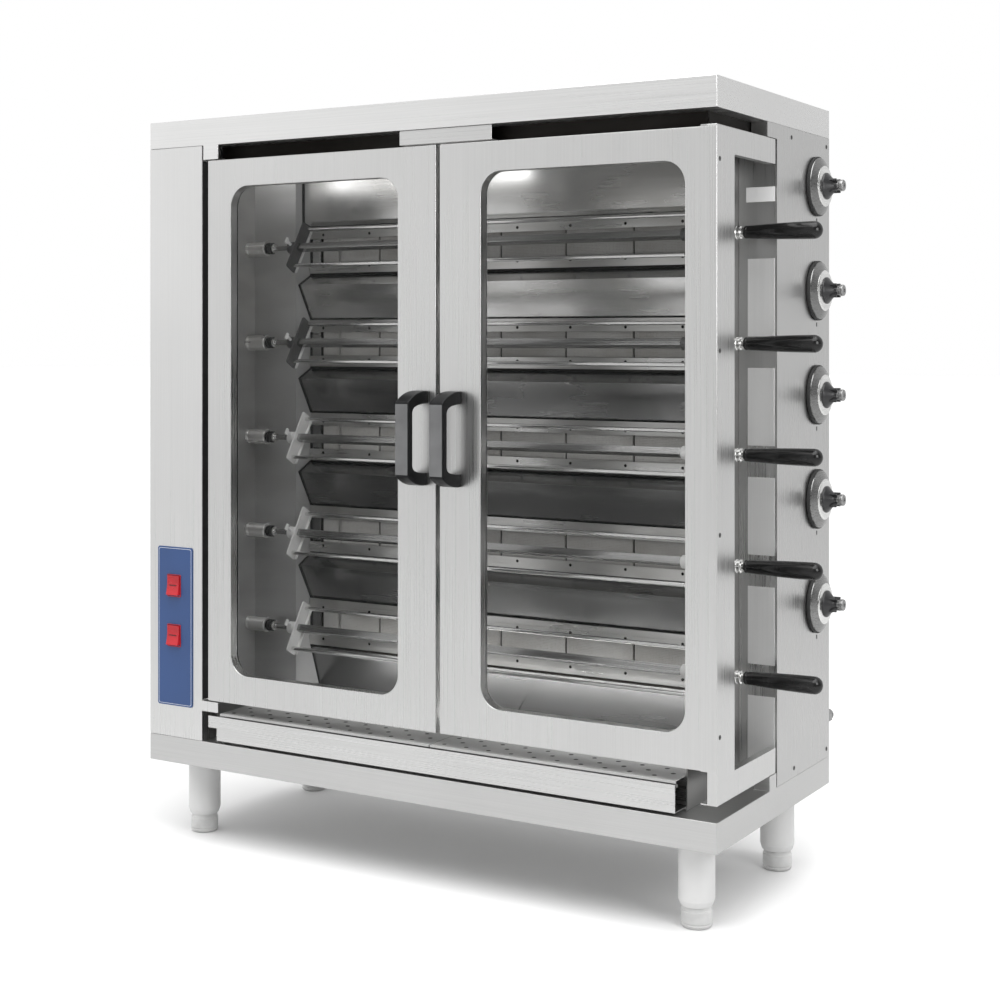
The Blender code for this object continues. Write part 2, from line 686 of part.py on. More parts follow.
def left_door():
    leaf = door_panel("left_door_frame", LEFT_DOOR, LEFT_WINDOW, LEFT_DOOR[1])
    cut(leaf, pin_hole("left_door_pin_hole", LEFT_PIVOT, DOOR_BOTTOM - OVERSHOOT, DOOR_TOP + OVERSHOOT))
    glass = door_glass("left_door_glass", LEFT_WINDOW)
    middle = (LEFT_DOOR[1] + RIGHT_DOOR[0]) / 2
    handle = door_handle("left_door_handle", middle - HANDLE_OFFSET)
    hang("left_door_pivot", (*LEFT_PIVOT, DOOR_BOTTOM), leaf, glass, handle)


def door_return(leaf):
    """The right door's side: a C-shaped sheet open to the rear, flanged at its ends and corner."""
    inner = WIDTH - SHEET
    flange = WIDTH - RETURN_FLANGE
    past = flange - OVERSHOOT
    low, high = RETURN_BOTTOM, RETURN_TOP
    block = box("return_block", (flange, 0, low), (WIDTH, RETURN_DEPTH, high))
    hollow = box("return_hollow", (past, SHEET, low + SHEET), (inner, RETURN_DEPTH + OVERSHOOT, high - SHEET))
    opening = box("return_opening", (past, RETURN_STILE, low + RETURN_ARM),
                  (WIDTH + OVERSHOOT, RETURN_DEPTH + 2 * OVERSHOOT, high - RETURN_ARM))
    trim = (WIDTH - CORNER_FLANGE, SHEET + GAP)
    below = box("trim_below", (past, -OVERSHOOT, low - OVERSHOOT), (*trim, DOOR_BOTTOM - GAP))
    above = box("trim_above", (past, -OVERSHOOT, DOOR_TOP + GAP), (*trim, high + OVERSHOOT))
    cut(block, hollow, opening, below, above)
    return join(leaf, block)


def right_door():
    leaf = door_panel("right_door_frame", RIGHT_DOOR, RIGHT_WINDOW, WIDTH - SHEET / 2)
    door_return(leaf)
    cut(leaf, pin_hole("right_door_pin_hole", RIGHT_PIVOT, RETURN_BOTTOM - OVERSHOOT, RETURN_TOP + OVERSHOOT))
    glass = door_glass("right_door_glass", RIGHT_WINDOW)
    middle = (LEFT_DOOR[1] + RIGHT_DOOR[0]) / 2
    handle = door_handle("right_door_handle", middle + HANDLE_OFFSET)
    hang("right_door_pivot", (*RIGHT_PIVOT, RETURN_BOTTOM), leaf, glass, handle)


# Drip tray


def drip_tray():
    """Pan behind an open-ended front channel."""
    thin = TRAY_SHEET
    left, right = TRAY_LEFT, CHAMBER_RIGHT - SHEET - 2 * GAP
    floor = DECK_TOP + GAP
    channel_floor = floor + 0.006
    lip_top = LEG_HEIGHT + 0.103
    curl = 0.009
    points = [(curl, lip_top - 0.006), (curl, lip_top - thin / 2), (thin / 2, lip_top - thin / 2),
              (thin / 2, channel_floor), (CHANNEL_DEPTH, channel_floor)]
    tray = folded("drip_tray", "yz", points, left, right, "stainless", thin)
    pan_front, pan_top = CHANNEL_DEPTH - OVERLAP, LEG_HEIGHT + 0.107
    pan = box("tray_pan", (left, pan_front, floor), (right, PAN_BACK, pan_top))
    hollow = box("tray_hollow", (left + thin, pan_front + thin, floor + thin),
                 (right - thin, PAN_BACK - thin, pan_top + OVERSHOOT))
    lip = box("tray_lip", (TRAY_FRONT_LEFT, 0, LEG_HEIGHT + 0.080), (left + OVERLAP, thin, lip_top))
    join(tray, pan, lip)
    cut(tray, hollow)
    return tray


def drip_grid():
    """Lift-out sheet over the pan and the channel, turned down at its front edge."""
    low = LEG_HEIGHT + 0.1073
    front, back = 0.0045, PAN_BACK - 0.001
    points = [(front, low - 0.003), (front, low + TRAY_SHEET / 2), (back, low + TRAY_SHEET / 2)]
    right = CHAMBER_RIGHT - SHEET - 2 * GAP
    return folded("drip_grid", "yz", points, TRAY_LEFT + 0.005, right, "stainless", TRAY_SHEET)


# Spits and drive


def spit_plate(level, side, x):
    """Cross plate with a hub on its left side."""
    z = level_height(level)
    thick, width, height = PLATE_SIZE
    plate = box(f"plate_{side}_{level}", (x, SPIT_Y - width / 2, z - height / 2),
                (x + thick, SPIT_Y + width / 2, z + height / 2))
    hub = cylinder(f"hub_{side}_{level}", (x - HUB_LENGTH, SPIT_Y, z), "x", HUB_LENGTH, 0.0125, segments=12)
    return [plate, hub]


def spit(level):
    """Square bar with two cross plates and two side rods. A thin shaft with a square end runs
    into the drive socket; a neck, a collar and a tang carry the hand grip."""
    z = level_height(level)
    half = BAR / 2
    bar = box(f"spit_{level + 1}", (BAR_SPAN[0], SPIT_Y - half, z - half),
              (BAR_SPAN[1], SPIT_Y + half, z + half), "bright_steel")
    tools = [box(f"drive_end_{level}", (DRIVE_END[0], SPIT_Y - half, z - half),
                 (DRIVE_END[1], SPIT_Y + half, z + half))]
    for side, x in PLATE_X.items():
        tools += spit_plate(level, side, x)
    rod_start, rod_length = PLATE_X["left"] + PLATE_SIZE[0] / 2, PLATE_X["right"] - PLATE_X["left"]
    for name, side in (("upper", 1), ("lower", -1)):
        tools.append(cylinder(f"rod_{name}_{level}", (rod_start, SPIT_Y, z + side * ROD_OFFSET), "x",
                              rod_length, ROD_RADIUS, segments=8))
    round_parts = (("shaft", DRIVE_END[1] - OVERLAP, BAR_SPAN[0] + OVERLAP, SHAFT_RADIUS, 12),
                   ("neck", BAR_SPAN[1] - 0.006, COLLAR_X + 0.002, NECK_RADIUS, 16),
                   ("collar", COLLAR_X, GRIP_X - 0.0005, 0.012, 12),
                   ("tang", COLLAR_X + 0.004, GRIP_X + 0.115, PIN_RADIUS, 8))
    for name, start, end, radius, segments in round_parts:
        place = (start, SPIT_Y, z)
        tools.append(cylinder(f"{name}_{level}", place, "x", end - start, radius, segments=segments))
    join(bar, *tools)
    axis = Vector(at(0, SPIT_Y, z))
    turn = Matrix.Rotation(SPIT_TILT, 3, "X")
    for tool in tools:
        tool.location = axis + turn @ (tool.location - axis)
        tool.rotation_euler = (turn @ tool.rotation_euler.to_matrix()).to_euler()
    bar.rotation_euler = (SPIT_TILT, 0, 0)
    return bar


def spit_handle(level):
    """Tapered hand grip with a round end, bored for the spit's tang."""
    length = WIDTH + SPIT_HANDLE_REACH - GRIP_X
    tang_bore = PIN_RADIUS + 2 * GAP
    end_radius, end_depth, steps = 0.015, 0.012, 4
    profile = [(0, length)]
    for step in range(1, steps + 1):
        angle = math.pi / 2 * step / steps
        profile.append((end_radius * math.sin(angle), length - end_depth * (1 - math.cos(angle))))
    profile += [(0.0148, length * 0.55), (0.0120, length * 0.25), (0.0078, 0.004), (0.0072, 0),
                (tang_bore, 0), (tang_bore, TANG_END), (0, TANG_END)]
    place = (GRIP_X, SPIT_Y, level_height(level))
    return turned(f"spit_handle_{level + 1}", place, "x", profile, "black_plastic", steps=16)


def sprocket_outline(y, z):
    """Toothed outline round an axis: two points on each tip and two in each root."""
    root = SPROCKET_RADIUS - 0.005
    points = []
    for tooth in range(SPROCKET_TEETH):
        for part, radius in ((0.0, root), (0.35, root), (0.55, SPROCKET_RADIUS), (0.80, SPROCKET_RADIUS)):
            angle = 2 * math.pi * (tooth + part) / SPROCKET_TEETH
            points.append((y + radius * math.cos(angle), z + radius * math.sin(angle)))
    return points


def sprocket(name, z, material=None):
    low = SPROCKET_X - SPROCKET_WIDTH / 2
    return prism(name, "yz", [sprocket_outline(SPIT_Y, z)], low, low + SPROCKET_WIDTH, material)


def drive_spindle(level):
    """Shaft with a sprocket on its outer end and a square socket in the chamber."""
    z = level_height(level)
    spindle = cylinder(f"drive_spindle_{level + 1}", (0.020, SPIT_Y, z), "x", 0.080, SPINDLE_RADIUS,
                       "bright_steel")
    start = CHAMBER_LEFT + 0.0005
    socket = cylinder(f"socket_{level}", (start, SPIT_Y, z), "x", SOCKET_LENGTH, SOCKET_RADIUS)
    half = BAR / 2 + 2 * GAP
    bore_start, bore_end = DRIVE_END[0] - 0.002, CHAMBER_LEFT + SOCKET_LENGTH + OVERSHOOT
    socket_bore = box(f"socket_bore_{level}", (bore_start, SPIT_Y - half, z - half),
                      (bore_end, SPIT_Y + half, z + half))
    socket_bore.rotation_euler = (SPIT_TILT, 0, 0)
    join(spindle, socket, sprocket(f"drive_sprocket_{level}", z))
    cut(spindle, socket_bore)
    return spindle


def spit_stations():
    for level in range(LEVELS):
        axis = (CHAMBER_LEFT, SPIT_Y, level_height(level))
        hang(f"spit_axis_{level + 1}", axis, drive_spindle(level), spit(level), spit_handle(level))


def bearing_bar():
    """Bar on the back of the chamber wall that carries all five spindles."""
    low, high = level_height(0) - 0.030, level_height(LEVELS - 1) + 0.030
    left, right, half_width = 0.0785, CHAMBER_LEFT - SHEET - GAP, 0.025
    bar = box("bearing_bar", (left, SPIT_Y - half_width, low), (right, SPIT_Y + half_width, high),
              "dark_steel")
    for level in range(LEVELS):
        place = (left - OVERSHOOT, SPIT_Y, level_height(level))
        cut(bar, bore(f"bearing_{level}", place, "x", 0.030, SPINDLE_RADIUS + GAP))


def gear_motor():
    """Right-angle gearbox on the deck with its motor lying behind it."""
    (left, front), (right, back) = GEARBOX
    gearbox = box("gear_motor", (left, front, PANEL_BOTTOM), (right, back, MOTOR_Z + 0.053), "dark_steel")
    motor = cylinder("motor_can", (0.0555, back - 0.006, MOTOR_Z), "y", 0.150, 0.030, segments=24)
    join(gearbox, motor)
    cut(gearbox, bore("motor_bore", (left - 0.005, SPIT_Y, MOTOR_Z), "x", 0.027, MOTOR_SHAFT_RADIUS + GAP))


def motor_sprocket():
    wheel = sprocket("motor_sprocket", MOTOR_Z, "dark_steel")
    join(wheel, cylinder("motor_shaft", (0.022, SPIT_Y, MOTOR_Z), "x", 0.042, MOTOR_SHAFT_RADIUS))
    hang("motor_axis", (SPROCKET_X, SPIT_Y, MOTOR_Z), wheel)


def stadium(radius, steps):
    """Outline round the top and bottom sprockets."""
    top = level_height(LEVELS - 1)
    points = []
    for centre, start in ((top, 0), (MOTOR_Z, math.pi)):
        for step in range(steps + 1):
            angle = start + math.pi * step / steps
            points.append((SPIT_Y + radius * math.cos(angle), centre + radius * math.sin(angle)))
    return points


def drive_chain():
    """Chain loop as a plain band just outside the sprocket teeth."""
    steps = 12
    inner = SPROCKET_RADIUS + 0.0005
    flats = inner / math.cos(math.pi / (2 * steps))
    low = SPROCKET_X - CHAIN_WIDTH / 2
    prism("drive_chain", "yz", [stadium(inner + CHAIN_DEPTH, steps), stadium(flats, steps)],
          low, low + CHAIN_WIDTH, "dark_steel")


# Controls


def control_panel():
    """Blue front plate with the two switch housings behind it."""
    outline = rectangle(*PANEL_X, *PANEL_Z, 0.004, 3)
    panel = prism("control_panel", "xz", [outline], -0.0018, -GAP, "blue_panel")
    half_width, half_height, wall = 0.0185, 0.023, 0.0015
    back = 0.0215
    for index, z in enumerate(ROCKER_Z):
        housing = box(f"switch_housing_{index}", (ROCKER_X - half_width, -OVERLAP, z - half_height),
                      (ROCKER_X + half_width, back, z + half_height))
        pocket = box(f"switch_pocket_{index}",
                     (ROCKER_X - half_width + wall, -OVERSHOOT, z - half_height + wall),
                     (ROCKER_X + half_width - wall, back - wall, z + half_height - wall))
        join(panel, housing)
        cut(panel, pocket)


def rocker(index):
    """Switch rocker with a shallow V face, tipped to its resting side."""
    z = ROCKER_Z[index]
    half = ROCKER_HEIGHT / 2
    root, taper = 0.010, 0.003
    outline = [(root, taper - half), (root, half - taper), (-ROCKER_PROUD, half),
               (-ROCKER_PROUD + 0.002, 0), (-ROCKER_PROUD, -half)]
    outline = [(y, z + rise) for y, rise in outline]
    piece = prism(f"rocker_switch_{index + 1}", "yz", [outline], ROCKER_X - ROCKER_WIDTH / 2,
                  ROCKER_X + ROCKER_WIDTH / 2, "red_plastic")
    pivot = hang(f"rocker_axis_{index + 1}", (ROCKER_X, 0.003, z), piece)
    pivot.rotation_euler = (ROCKER_TILT, 0, 0)


def main():
    base_frame()
    legs()
    left_side_panel()
    front_column()
    right_side_panel()
    back_panel()
    top_cover()
    top_rail()
    chamber_left_wall()
    chamber_right_wall()
    chamber_ceiling()
    rear_reflector()
    for level in range(LEVELS):
        burner(level)
        gas_knob(level)
    gas_manifold()
    left_door()
    right_door()
    hang("tray_slide", (WIDTH / 2, 0, DECK_TOP + GAP), drip_tray(), drip_grid())
    spit_stations()
    bearing_bar()
    gear_motor()
    motor_sprocket()
    drive_chain()
    control_panel()
    for index in range(len(ROCKER_Z)):
        rocker(index)


main()
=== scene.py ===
"""Looks of the five-spit rotisserie oven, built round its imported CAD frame.

Pieces are shaped in cabinet coordinates, in metres: x from the left side, y back from the
front plane, z up from the floor. A piece is moved to the frame's own coordinates when it is
made, by the place of the base frame's low corner. Sizes come from the CAD nodes' boxes.
"""
import math

import bmesh
import bpy
from mathutils import Matrix, Vector


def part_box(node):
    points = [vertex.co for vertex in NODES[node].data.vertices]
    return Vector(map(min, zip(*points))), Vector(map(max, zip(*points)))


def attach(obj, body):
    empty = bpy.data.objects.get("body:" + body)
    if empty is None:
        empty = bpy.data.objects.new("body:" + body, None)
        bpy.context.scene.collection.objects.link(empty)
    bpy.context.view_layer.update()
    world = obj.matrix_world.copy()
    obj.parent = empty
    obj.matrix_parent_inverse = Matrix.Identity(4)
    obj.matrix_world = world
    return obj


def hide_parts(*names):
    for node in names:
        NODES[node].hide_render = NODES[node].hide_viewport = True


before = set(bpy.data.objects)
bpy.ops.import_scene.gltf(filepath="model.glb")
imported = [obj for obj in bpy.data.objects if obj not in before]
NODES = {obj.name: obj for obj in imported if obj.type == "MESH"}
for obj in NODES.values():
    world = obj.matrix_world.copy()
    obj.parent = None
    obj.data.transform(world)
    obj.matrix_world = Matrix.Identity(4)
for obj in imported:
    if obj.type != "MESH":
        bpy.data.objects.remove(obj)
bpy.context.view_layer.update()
CORNER = Vector((*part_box("base_frame")[0].xy, 0))

# Camera, fitted to the cabinet's corners
CAMERA_PLACE = (2.3278, -2.5213, 0.9861)
CAMERA_TURN = math.radians(31.03)
CAMERA_LENS = 60.88
CAMERA_SHIFT = -0.1622

# Sheet metal, the gap between two pieces, rounded edges and rounded folds
SHEET = 0.002
GAP = 0.0003
EDGE = 0.0006
FOLD = 0.0016

# How far a cutting block reaches past the sheet it cuts
PAST = 0.01

# Heights between which the chamber's sheets go from painted shade at their foot to their own colour
FOOT_SHADE_HEIGHTS = (0.88, 1.08)

# Directions from which the studio is darkest and brightest
DARK_SIDE = Vector((0.86, -0.5, 0.05)).normalized()
BRIGHT_SIDE = Vector((-1.0, -0.3, 0.05)).normalized()

# Right face of the front column, the rockers' pivot heights, and the back of the holed grid
COLUMN_RIGHT = 0.134
ROCKER_Z = (0.401, 0.499)
HOLED_TO = 0.235

# Rows of spits, burners and controls, and how far the fork plates lean back
LEVELS = 5
SPIT_TILT = math.radians(-31)

# Left faces of a spit's two fork plates, and how many forks, from the bottom, are painted lit; the forks
# above them are painted in shade
FORK_X = (0.218, 1.09)
FORK_THICKNESS = 0.003
LIT_FORKS = 3

# Toothed wheels of the drive: radius, and their two faces
WHEEL_RADIUS = 0.04
WHEEL_X = (0.0255, 0.0305)

# Inside of the chamber: its left and right ends, and the front of the burners' flanges
CHAMBER_X = (0.1812, 1.1435)
FLANGE_Y = 0.2795


def node_box(node):
    """A CAD node's low and high corners in cabinet coordinates."""
    low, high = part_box(node)
    return low - CORNER, high - CORNER


def node_middle(node):
    """The middle of a CAD node's box in cabinet coordinates."""
    return sum(node_box(node), Vector()) / 2


WIDTH, DEPTH = node_box("base_frame")[1].xy
LEFT_DOOR = node_box("left_door_frame")
RIGHT_DOOR = node_box("right_door_frame")
RIGHT_LEAF_Z = (LEFT_DOOR[0].z, LEFT_DOOR[1].z)
SPIT_AXES = [node_middle(f"drive_spindle_{k + 1}") for k in range(LEVELS)]


# ---- materials


def new_material(name, colour, roughness, metallic=0.0):
    material = bpy.data.materials.new(name)
    material.use_nodes = True
    shader = material.node_tree.nodes["Principled BSDF"]
    shader.inputs["Base Color"].default_value = (*colour, 1)
    shader.inputs["Roughness"].default_value = roughness
    shader.inputs["Metallic"].default_value = metallic
    return material, material.node_tree, shader


def shader_node(tree, kind, **inputs):
    """A new shader node whose inputs are set to values or joined to other nodes' outputs."""
    node = tree.nodes.new("ShaderNode" + kind)
    for name, value in inputs.items():
        target = node.inputs[name.replace("_", " ")]
        if isinstance(value, bpy.types.NodeSocket):
            tree.links.new(value, target)
        else:
            target.default_value = value
    return node


def object_place(tree):
    return shader_node(tree, "TexCoord").outputs["Object"]


def noise(tree, scale, stretch=(1, 1, 1), detail=3.0):
    """Noise in object space, whose streaks are long on the axes with a small stretch."""
    mapping = shader_node(tree, "Mapping", Scale=stretch, Vector=object_place(tree))
    texture = shader_node(tree, "TexNoise", Scale=scale, Detail=detail, Vector=mapping.outputs["Vector"])
    return texture.outputs["Fac"]


def spread(tree, source, low, high, start=0.3, end=0.7):
    """A source's values from start to end, spread over low to high."""
    node = shader_node(tree, "MapRange", Value=source, From_Min=start, From_Max=end, To_Min=low, To_Max=high)
    return node.outputs["Result"]


def mixed(tree, factor, first, second):
    """A colour between two others; each may be a socket or a plain colour."""
    node = shader_node(tree, "Mix")
    node.data_type = "RGBA"
    tree.links.new(factor, node.inputs["Factor"])
    for socket, value in ((node.inputs[6], first), (node.inputs[7], second)):
        if isinstance(value, bpy.types.NodeSocket):
            tree.links.new(value, socket)
        else:
            socket.default_value = (*value, 1)
    return node.outputs[2]


def summed(tree, first, second):
    node = shader_node(tree, "Math")
    node.operation = "ADD"
    tree.links.new(first, node.inputs[0])
    tree.links.new(second, node.inputs[1])
    return node.outputs["Value"]


def bumped(tree, shader, height, strength, distance=0.0005):
    node = shader_node(tree, "Bump", Strength=strength, Distance=distance, Height=height)
    tree.links.new(node.outputs["Normal"], shader.inputs["Normal"])


def finished(tree, shader, tone, rough, height, strength, distance):
    """Join a material's colour, roughness and fine relief to its shader."""
    tree.links.new(tone, shader.inputs["Base Color"])
    tree.links.new(rough, shader.inputs["Roughness"])
    bumped(tree, shader, height, strength, distance)


def shade(colour, factor):
    return tuple(channel * factor for channel in colour)


def brushed(name, colour, roughness, grain, cloud=0.05, streak=0.06):
    """Brushed steel: fine streaks along one axis over broad, faint clouds."""
    material, tree, shader = new_material(name, colour, roughness, 1.0)
    stretch = {"x": (3, 420, 420), "y": (420, 3, 420), "z": (420, 420, 3)}[grain]
    streaks = noise(tree, 1.0, stretch, 4)
    clouds = noise(tree, 2.6, detail=2)
    tone = mixed(tree, spread(tree, streaks, 0, 1), shade(colour, 1 - streak), shade(colour, 1 + streak))
    tone = mixed(tree, spread(tree, clouds, 0, cloud * 4), tone, shade(colour, 0.72))
    rough = summed(tree, spread(tree, streaks, roughness - 0.05, roughness + 0.05),
                   spread(tree, clouds, -0.03, 0.05))
    finished(tree, shader, tone, rough, streaks, 0.06, 0.0002)
    return material


def height_in_frame(tree):
    return shader_node(tree, "SeparateXYZ", Vector=object_place(tree)).outputs["Z"]


def heated(name, colour, roughness, foot_shade=0.0, metallic=1.0):
    """Chamber steel: bright rolled sheet, dulled in soft patches, and darkened towards its foot by painted
    shade.
    """
    material, tree, shader = new_material(name, colour, roughness, metallic)
    rolled = noise(tree, 1.0, (5, 5, 130), 3)
    patches = noise(tree, 4.5, (1, 1, 2.2), 2)
    warm = tuple(channel * tint for channel, tint in zip(colour, (0.62, 0.61, 0.59)))
    tone = mixed(tree, spread(tree, patches, 0, 1), colour, warm)
    tone = mixed(tree, spread(tree, rolled, 0, 0.3), tone, shade(colour, 0.75))
    # Painted shade: the colour darkens towards the foot, standing in for the dim reflections of the lower
    # bays
    foot = spread(tree, height_in_frame(tree), foot_shade, 0, *FOOT_SHADE_HEIGHTS)
    tone = mixed(tree, foot, tone, shade(colour, 0.22))
    rough = summed(tree, spread(tree, patches, roughness - 0.04, roughness + 0.1),
                   spread(tree, rolled, -0.02, 0.03))
    finished(tree, shader, tone, rough, patches, 0.04, 0.004)
    return material


def moulded(name, colour, roughness, grain=900, strength=0.12, gloss=0.5):
    """Plastic with a fine moulded grain and slight wear."""
    material, tree, shader = new_material(name, colour, roughness)
    shader.inputs["Specular IOR Level"].default_value = gloss
    fine = noise(tree, grain, detail=2)
    wear = noise(tree, 26, detail=4)
    tone = mixed(tree, spread(tree, wear, 0, 1), colour, shade(colour, 1.35))
    rough = spread(tree, wear, roughness - 0.04, roughness + 0.07)
    finished(tree, shader, tone, rough, fine, strength, 0.0002)
    return material


def painted(name, colour, roughness, coat=0.0):
    """Sprayed or printed coat with a faint orange peel."""
    material, tree, shader = new_material(name, colour, roughness)
    peel = noise(tree, 300, detail=2)
    clouds = noise(tree, 7, detail=3)
    tone = mixed(tree, spread(tree, clouds, 0, 1), shade(colour, 0.93), shade(colour, 1.07))
    shader.inputs["Coat Weight"].default_value = coat
    rough = spread(tree, clouds, roughness - 0.04, roughness + 0.05)
    finished(tree, shader, tone, rough, peel, 0.08, 0.0003)
    return material


def ceramic(name):
    """Burner tile: fired clay with its honeycomb of small flame holes, painted dark as the shade inside
    them.
    """
    pale, hole_shade = (0.52, 0.515, 0.5), (0.2, 0.19, 0.175)
    material, tree, shader = new_material(name, pale, 0.85)
    cells = shader_node(tree, "TexVoronoi", Scale=340, Randomness=0.15, Vector=object_place(tree))
    # Painted shade inside the small flame holes
    holes = spread(tree, cells.outputs["Distance"], 1, 0, 0.18, 0.34)
    stain = noise(tree, 9, detail=4)
    body = mixed(tree, spread(tree, stain, 0, 1), pale, (0.36, 0.35, 0.33))
    tree.links.new(mixed(tree, holes, body, hole_shade), shader.inputs["Base Color"])
    bumped(tree, shader, spread(tree, cells.outputs["Distance"], 0, 1, 0.15, 0.4), 0.35, 0.001)
    return material


def window_glass(name):
    """Clear pane: mostly see-through, with a weak veil and uneven wipe marks in its gloss."""
    material, tree, shader = new_material(name, (0.012, 0.014, 0.014), 0.03)
    shader.inputs["Alpha"].default_value = 0.1
    shader.inputs["IOR"].default_value = 1.5
    wipes = noise(tree, 6, (1, 1, 0.4), 4)
    tree.links.new(spread(tree, wipes, 0.01, 0.09), shader.inputs["Roughness"])
    return material


def grey(value, warmth=0.005):
    """A grey with a little less blue."""
    return value, value, value - warmth


STEEL = grey(0.63)
LOOKS = {
    "steel_z": (brushed, STEEL, 0.3, "z", 0.05, 0.035),
    "steel_x": (brushed, STEEL, 0.3, "x"),
    # Painted light: the cap is a lighter copy of the steel, as the top catches more light
    "steel_cap": (brushed, grey(0.74), 0.3, "x", 0.03, 0.04),
    "steel_base": (brushed, grey(0.6), 0.38, "x", 0.04, 0.05),
    # Painted shade: the recess wall is a darker copy of the steel, for the shade in the recess
    "steel_recess": (brushed, grey(0.44), 0.36, "z", 0.05, 0.02),
    # Painted shade: the side sheets are a darker copy of the front steel, as the sides get less light
    "steel_side": (brushed, shade(STEEL, 0.86), 0.3, "z", 0.04, 0.03),
    "tray_steel": (brushed, shade(STEEL, 1.03), 0.26, "x"),
    # The chamber and reflector sheets carry painted shade towards their foot
    "chamber": (heated, grey(0.66), 0.34, 0.35, 0.55),
    "reflector": (heated, grey(0.92), 0.2, 0.93),
    "burner_frame": (heated, grey(0.8, 0.01), 0.28),
    # Lit and shaded copies of the fork plates' finish: painted light and painted shade
    "fork": (painted, grey(0.8, 0.01), 0.4),
    "fork_dark": (painted, (0.075, 0.075, 0.074), 0.35),
    "socket": (heated, grey(0.92, 0.01), 0.22, 0, 0.7),
    "shield": (painted, grey(0.46), 0.42),
    # Painted light: the front column is a lighter copy of the front steel, as it catches more light
    "steel_column": (brushed, grey(0.7), 0.3, "z", 0.04, 0.03),
    "grid_steel": (painted, grey(0.44), 0.45),
    "satin_steel": (brushed, grey(0.94), 0.5, "z", 0.03, 0.02),
    "tile": (ceramic,),
    "spit": (brushed, grey(0.8, 0.01), 0.15, "x", 0.04, 0.04),
    "spit_dark": (brushed, grey(0.42), 0.22, "x", 0.06, 0.06),
    "steel_bright": (painted, grey(0.86), 0.45),
    # Black used for sooty burner parts and as painted shade in slots, gaps and under holes
    "soot": (heated, (0.03, 0.028, 0.026), 0.55),
    "screw": (brushed, grey(0.1, 0), 0.35, "y", 0.05, 0.05),
    "knob_black": (moulded, (0.016, 0.016, 0.017), 0.3, 900, 0.05),
    "red_dark": (moulded, (0.36, 0.01, 0.012), 0.35, 900, 0.05),
    "turned": (brushed, grey(0.82, 0.01), 0.17, "y", 0.03, 0.05),
    "dial_dark": (brushed, (0.25, 0.25, 0.248), 0.28, "y", 0.1, 0.16),
    "knob_bright": (brushed, grey(0.8, 0.01), 0.24, "y", 0.06, 0.1),
    "leg": (painted, grey(0.76), 0.36, 0.2),
    "foot": (moulded, grey(0.6), 0.42, 500, 0.1),
    "black": (moulded, grey(0.008, 0), 0.12, 900, 0.01, 0.34),
    "grip": (moulded, (0.005, 0.005, 0.0055), 0.34, 700, 0.06, 0.22),
    "grip_face": (moulded, (0.125, 0.126, 0.128), 0.42, 700, 0.06, 0.4),
    # Black rubber, also used as painted shade in the hinge gap and the rocker's groove
    "rubber": (moulded, grey(0.012, 0), 0.62, 600, 0.15),
    "red": (moulded, (0.42, 0.01, 0.018), 0.26, 900, 0.04),
    "blue": (painted, (0.03, 0.075, 0.215), 0.42),
    "print_white": (painted, (0.74, 0.77, 0.82), 0.45),
    "union": (brushed, grey(0.34, 0), 0.36, "y", 0.08, 0.05),
    "drive": (brushed, (0.26, 0.26, 0.27), 0.34, "z", 0.15, 0.08),
    "glass": (window_glass,),
}
MATERIALS = {name: make(name, *values) for name, (make, *values) in LOOKS.items()}


# ---- shaping tools

AXIS_TURN = {"x": Matrix.Rotation(math.pi / 2, 4, "Y"), "y": Matrix.Rotation(-math.pi / 2, 4, "X"),
             "z": Matrix.Identity(4)}
PLANE_TURN = {
    "xy": Matrix.Identity(4),
    "xz": Matrix(((1, 0, 0, 0), (0, 0, 1, 0), (0, 1, 0, 0), (0, 0, 0, 1))),
    "yz": Matrix(((0, 0, 1, 0), (1, 0, 0, 0), (0, 1, 0, 0), (0, 0, 0, 1))),
}


def baked_mesh(obj):
    """The object's mesh with its modifiers or curve settings applied."""
    return bpy.data.meshes.new_from_object(obj.evaluated_get(bpy.context.evaluated_depsgraph_get()))


def linked(name, data):
    """A new object, put in the scene."""
    obj = bpy.data.objects.new(name, data)
    bpy.context.scene.collection.objects.link(obj)
    return obj


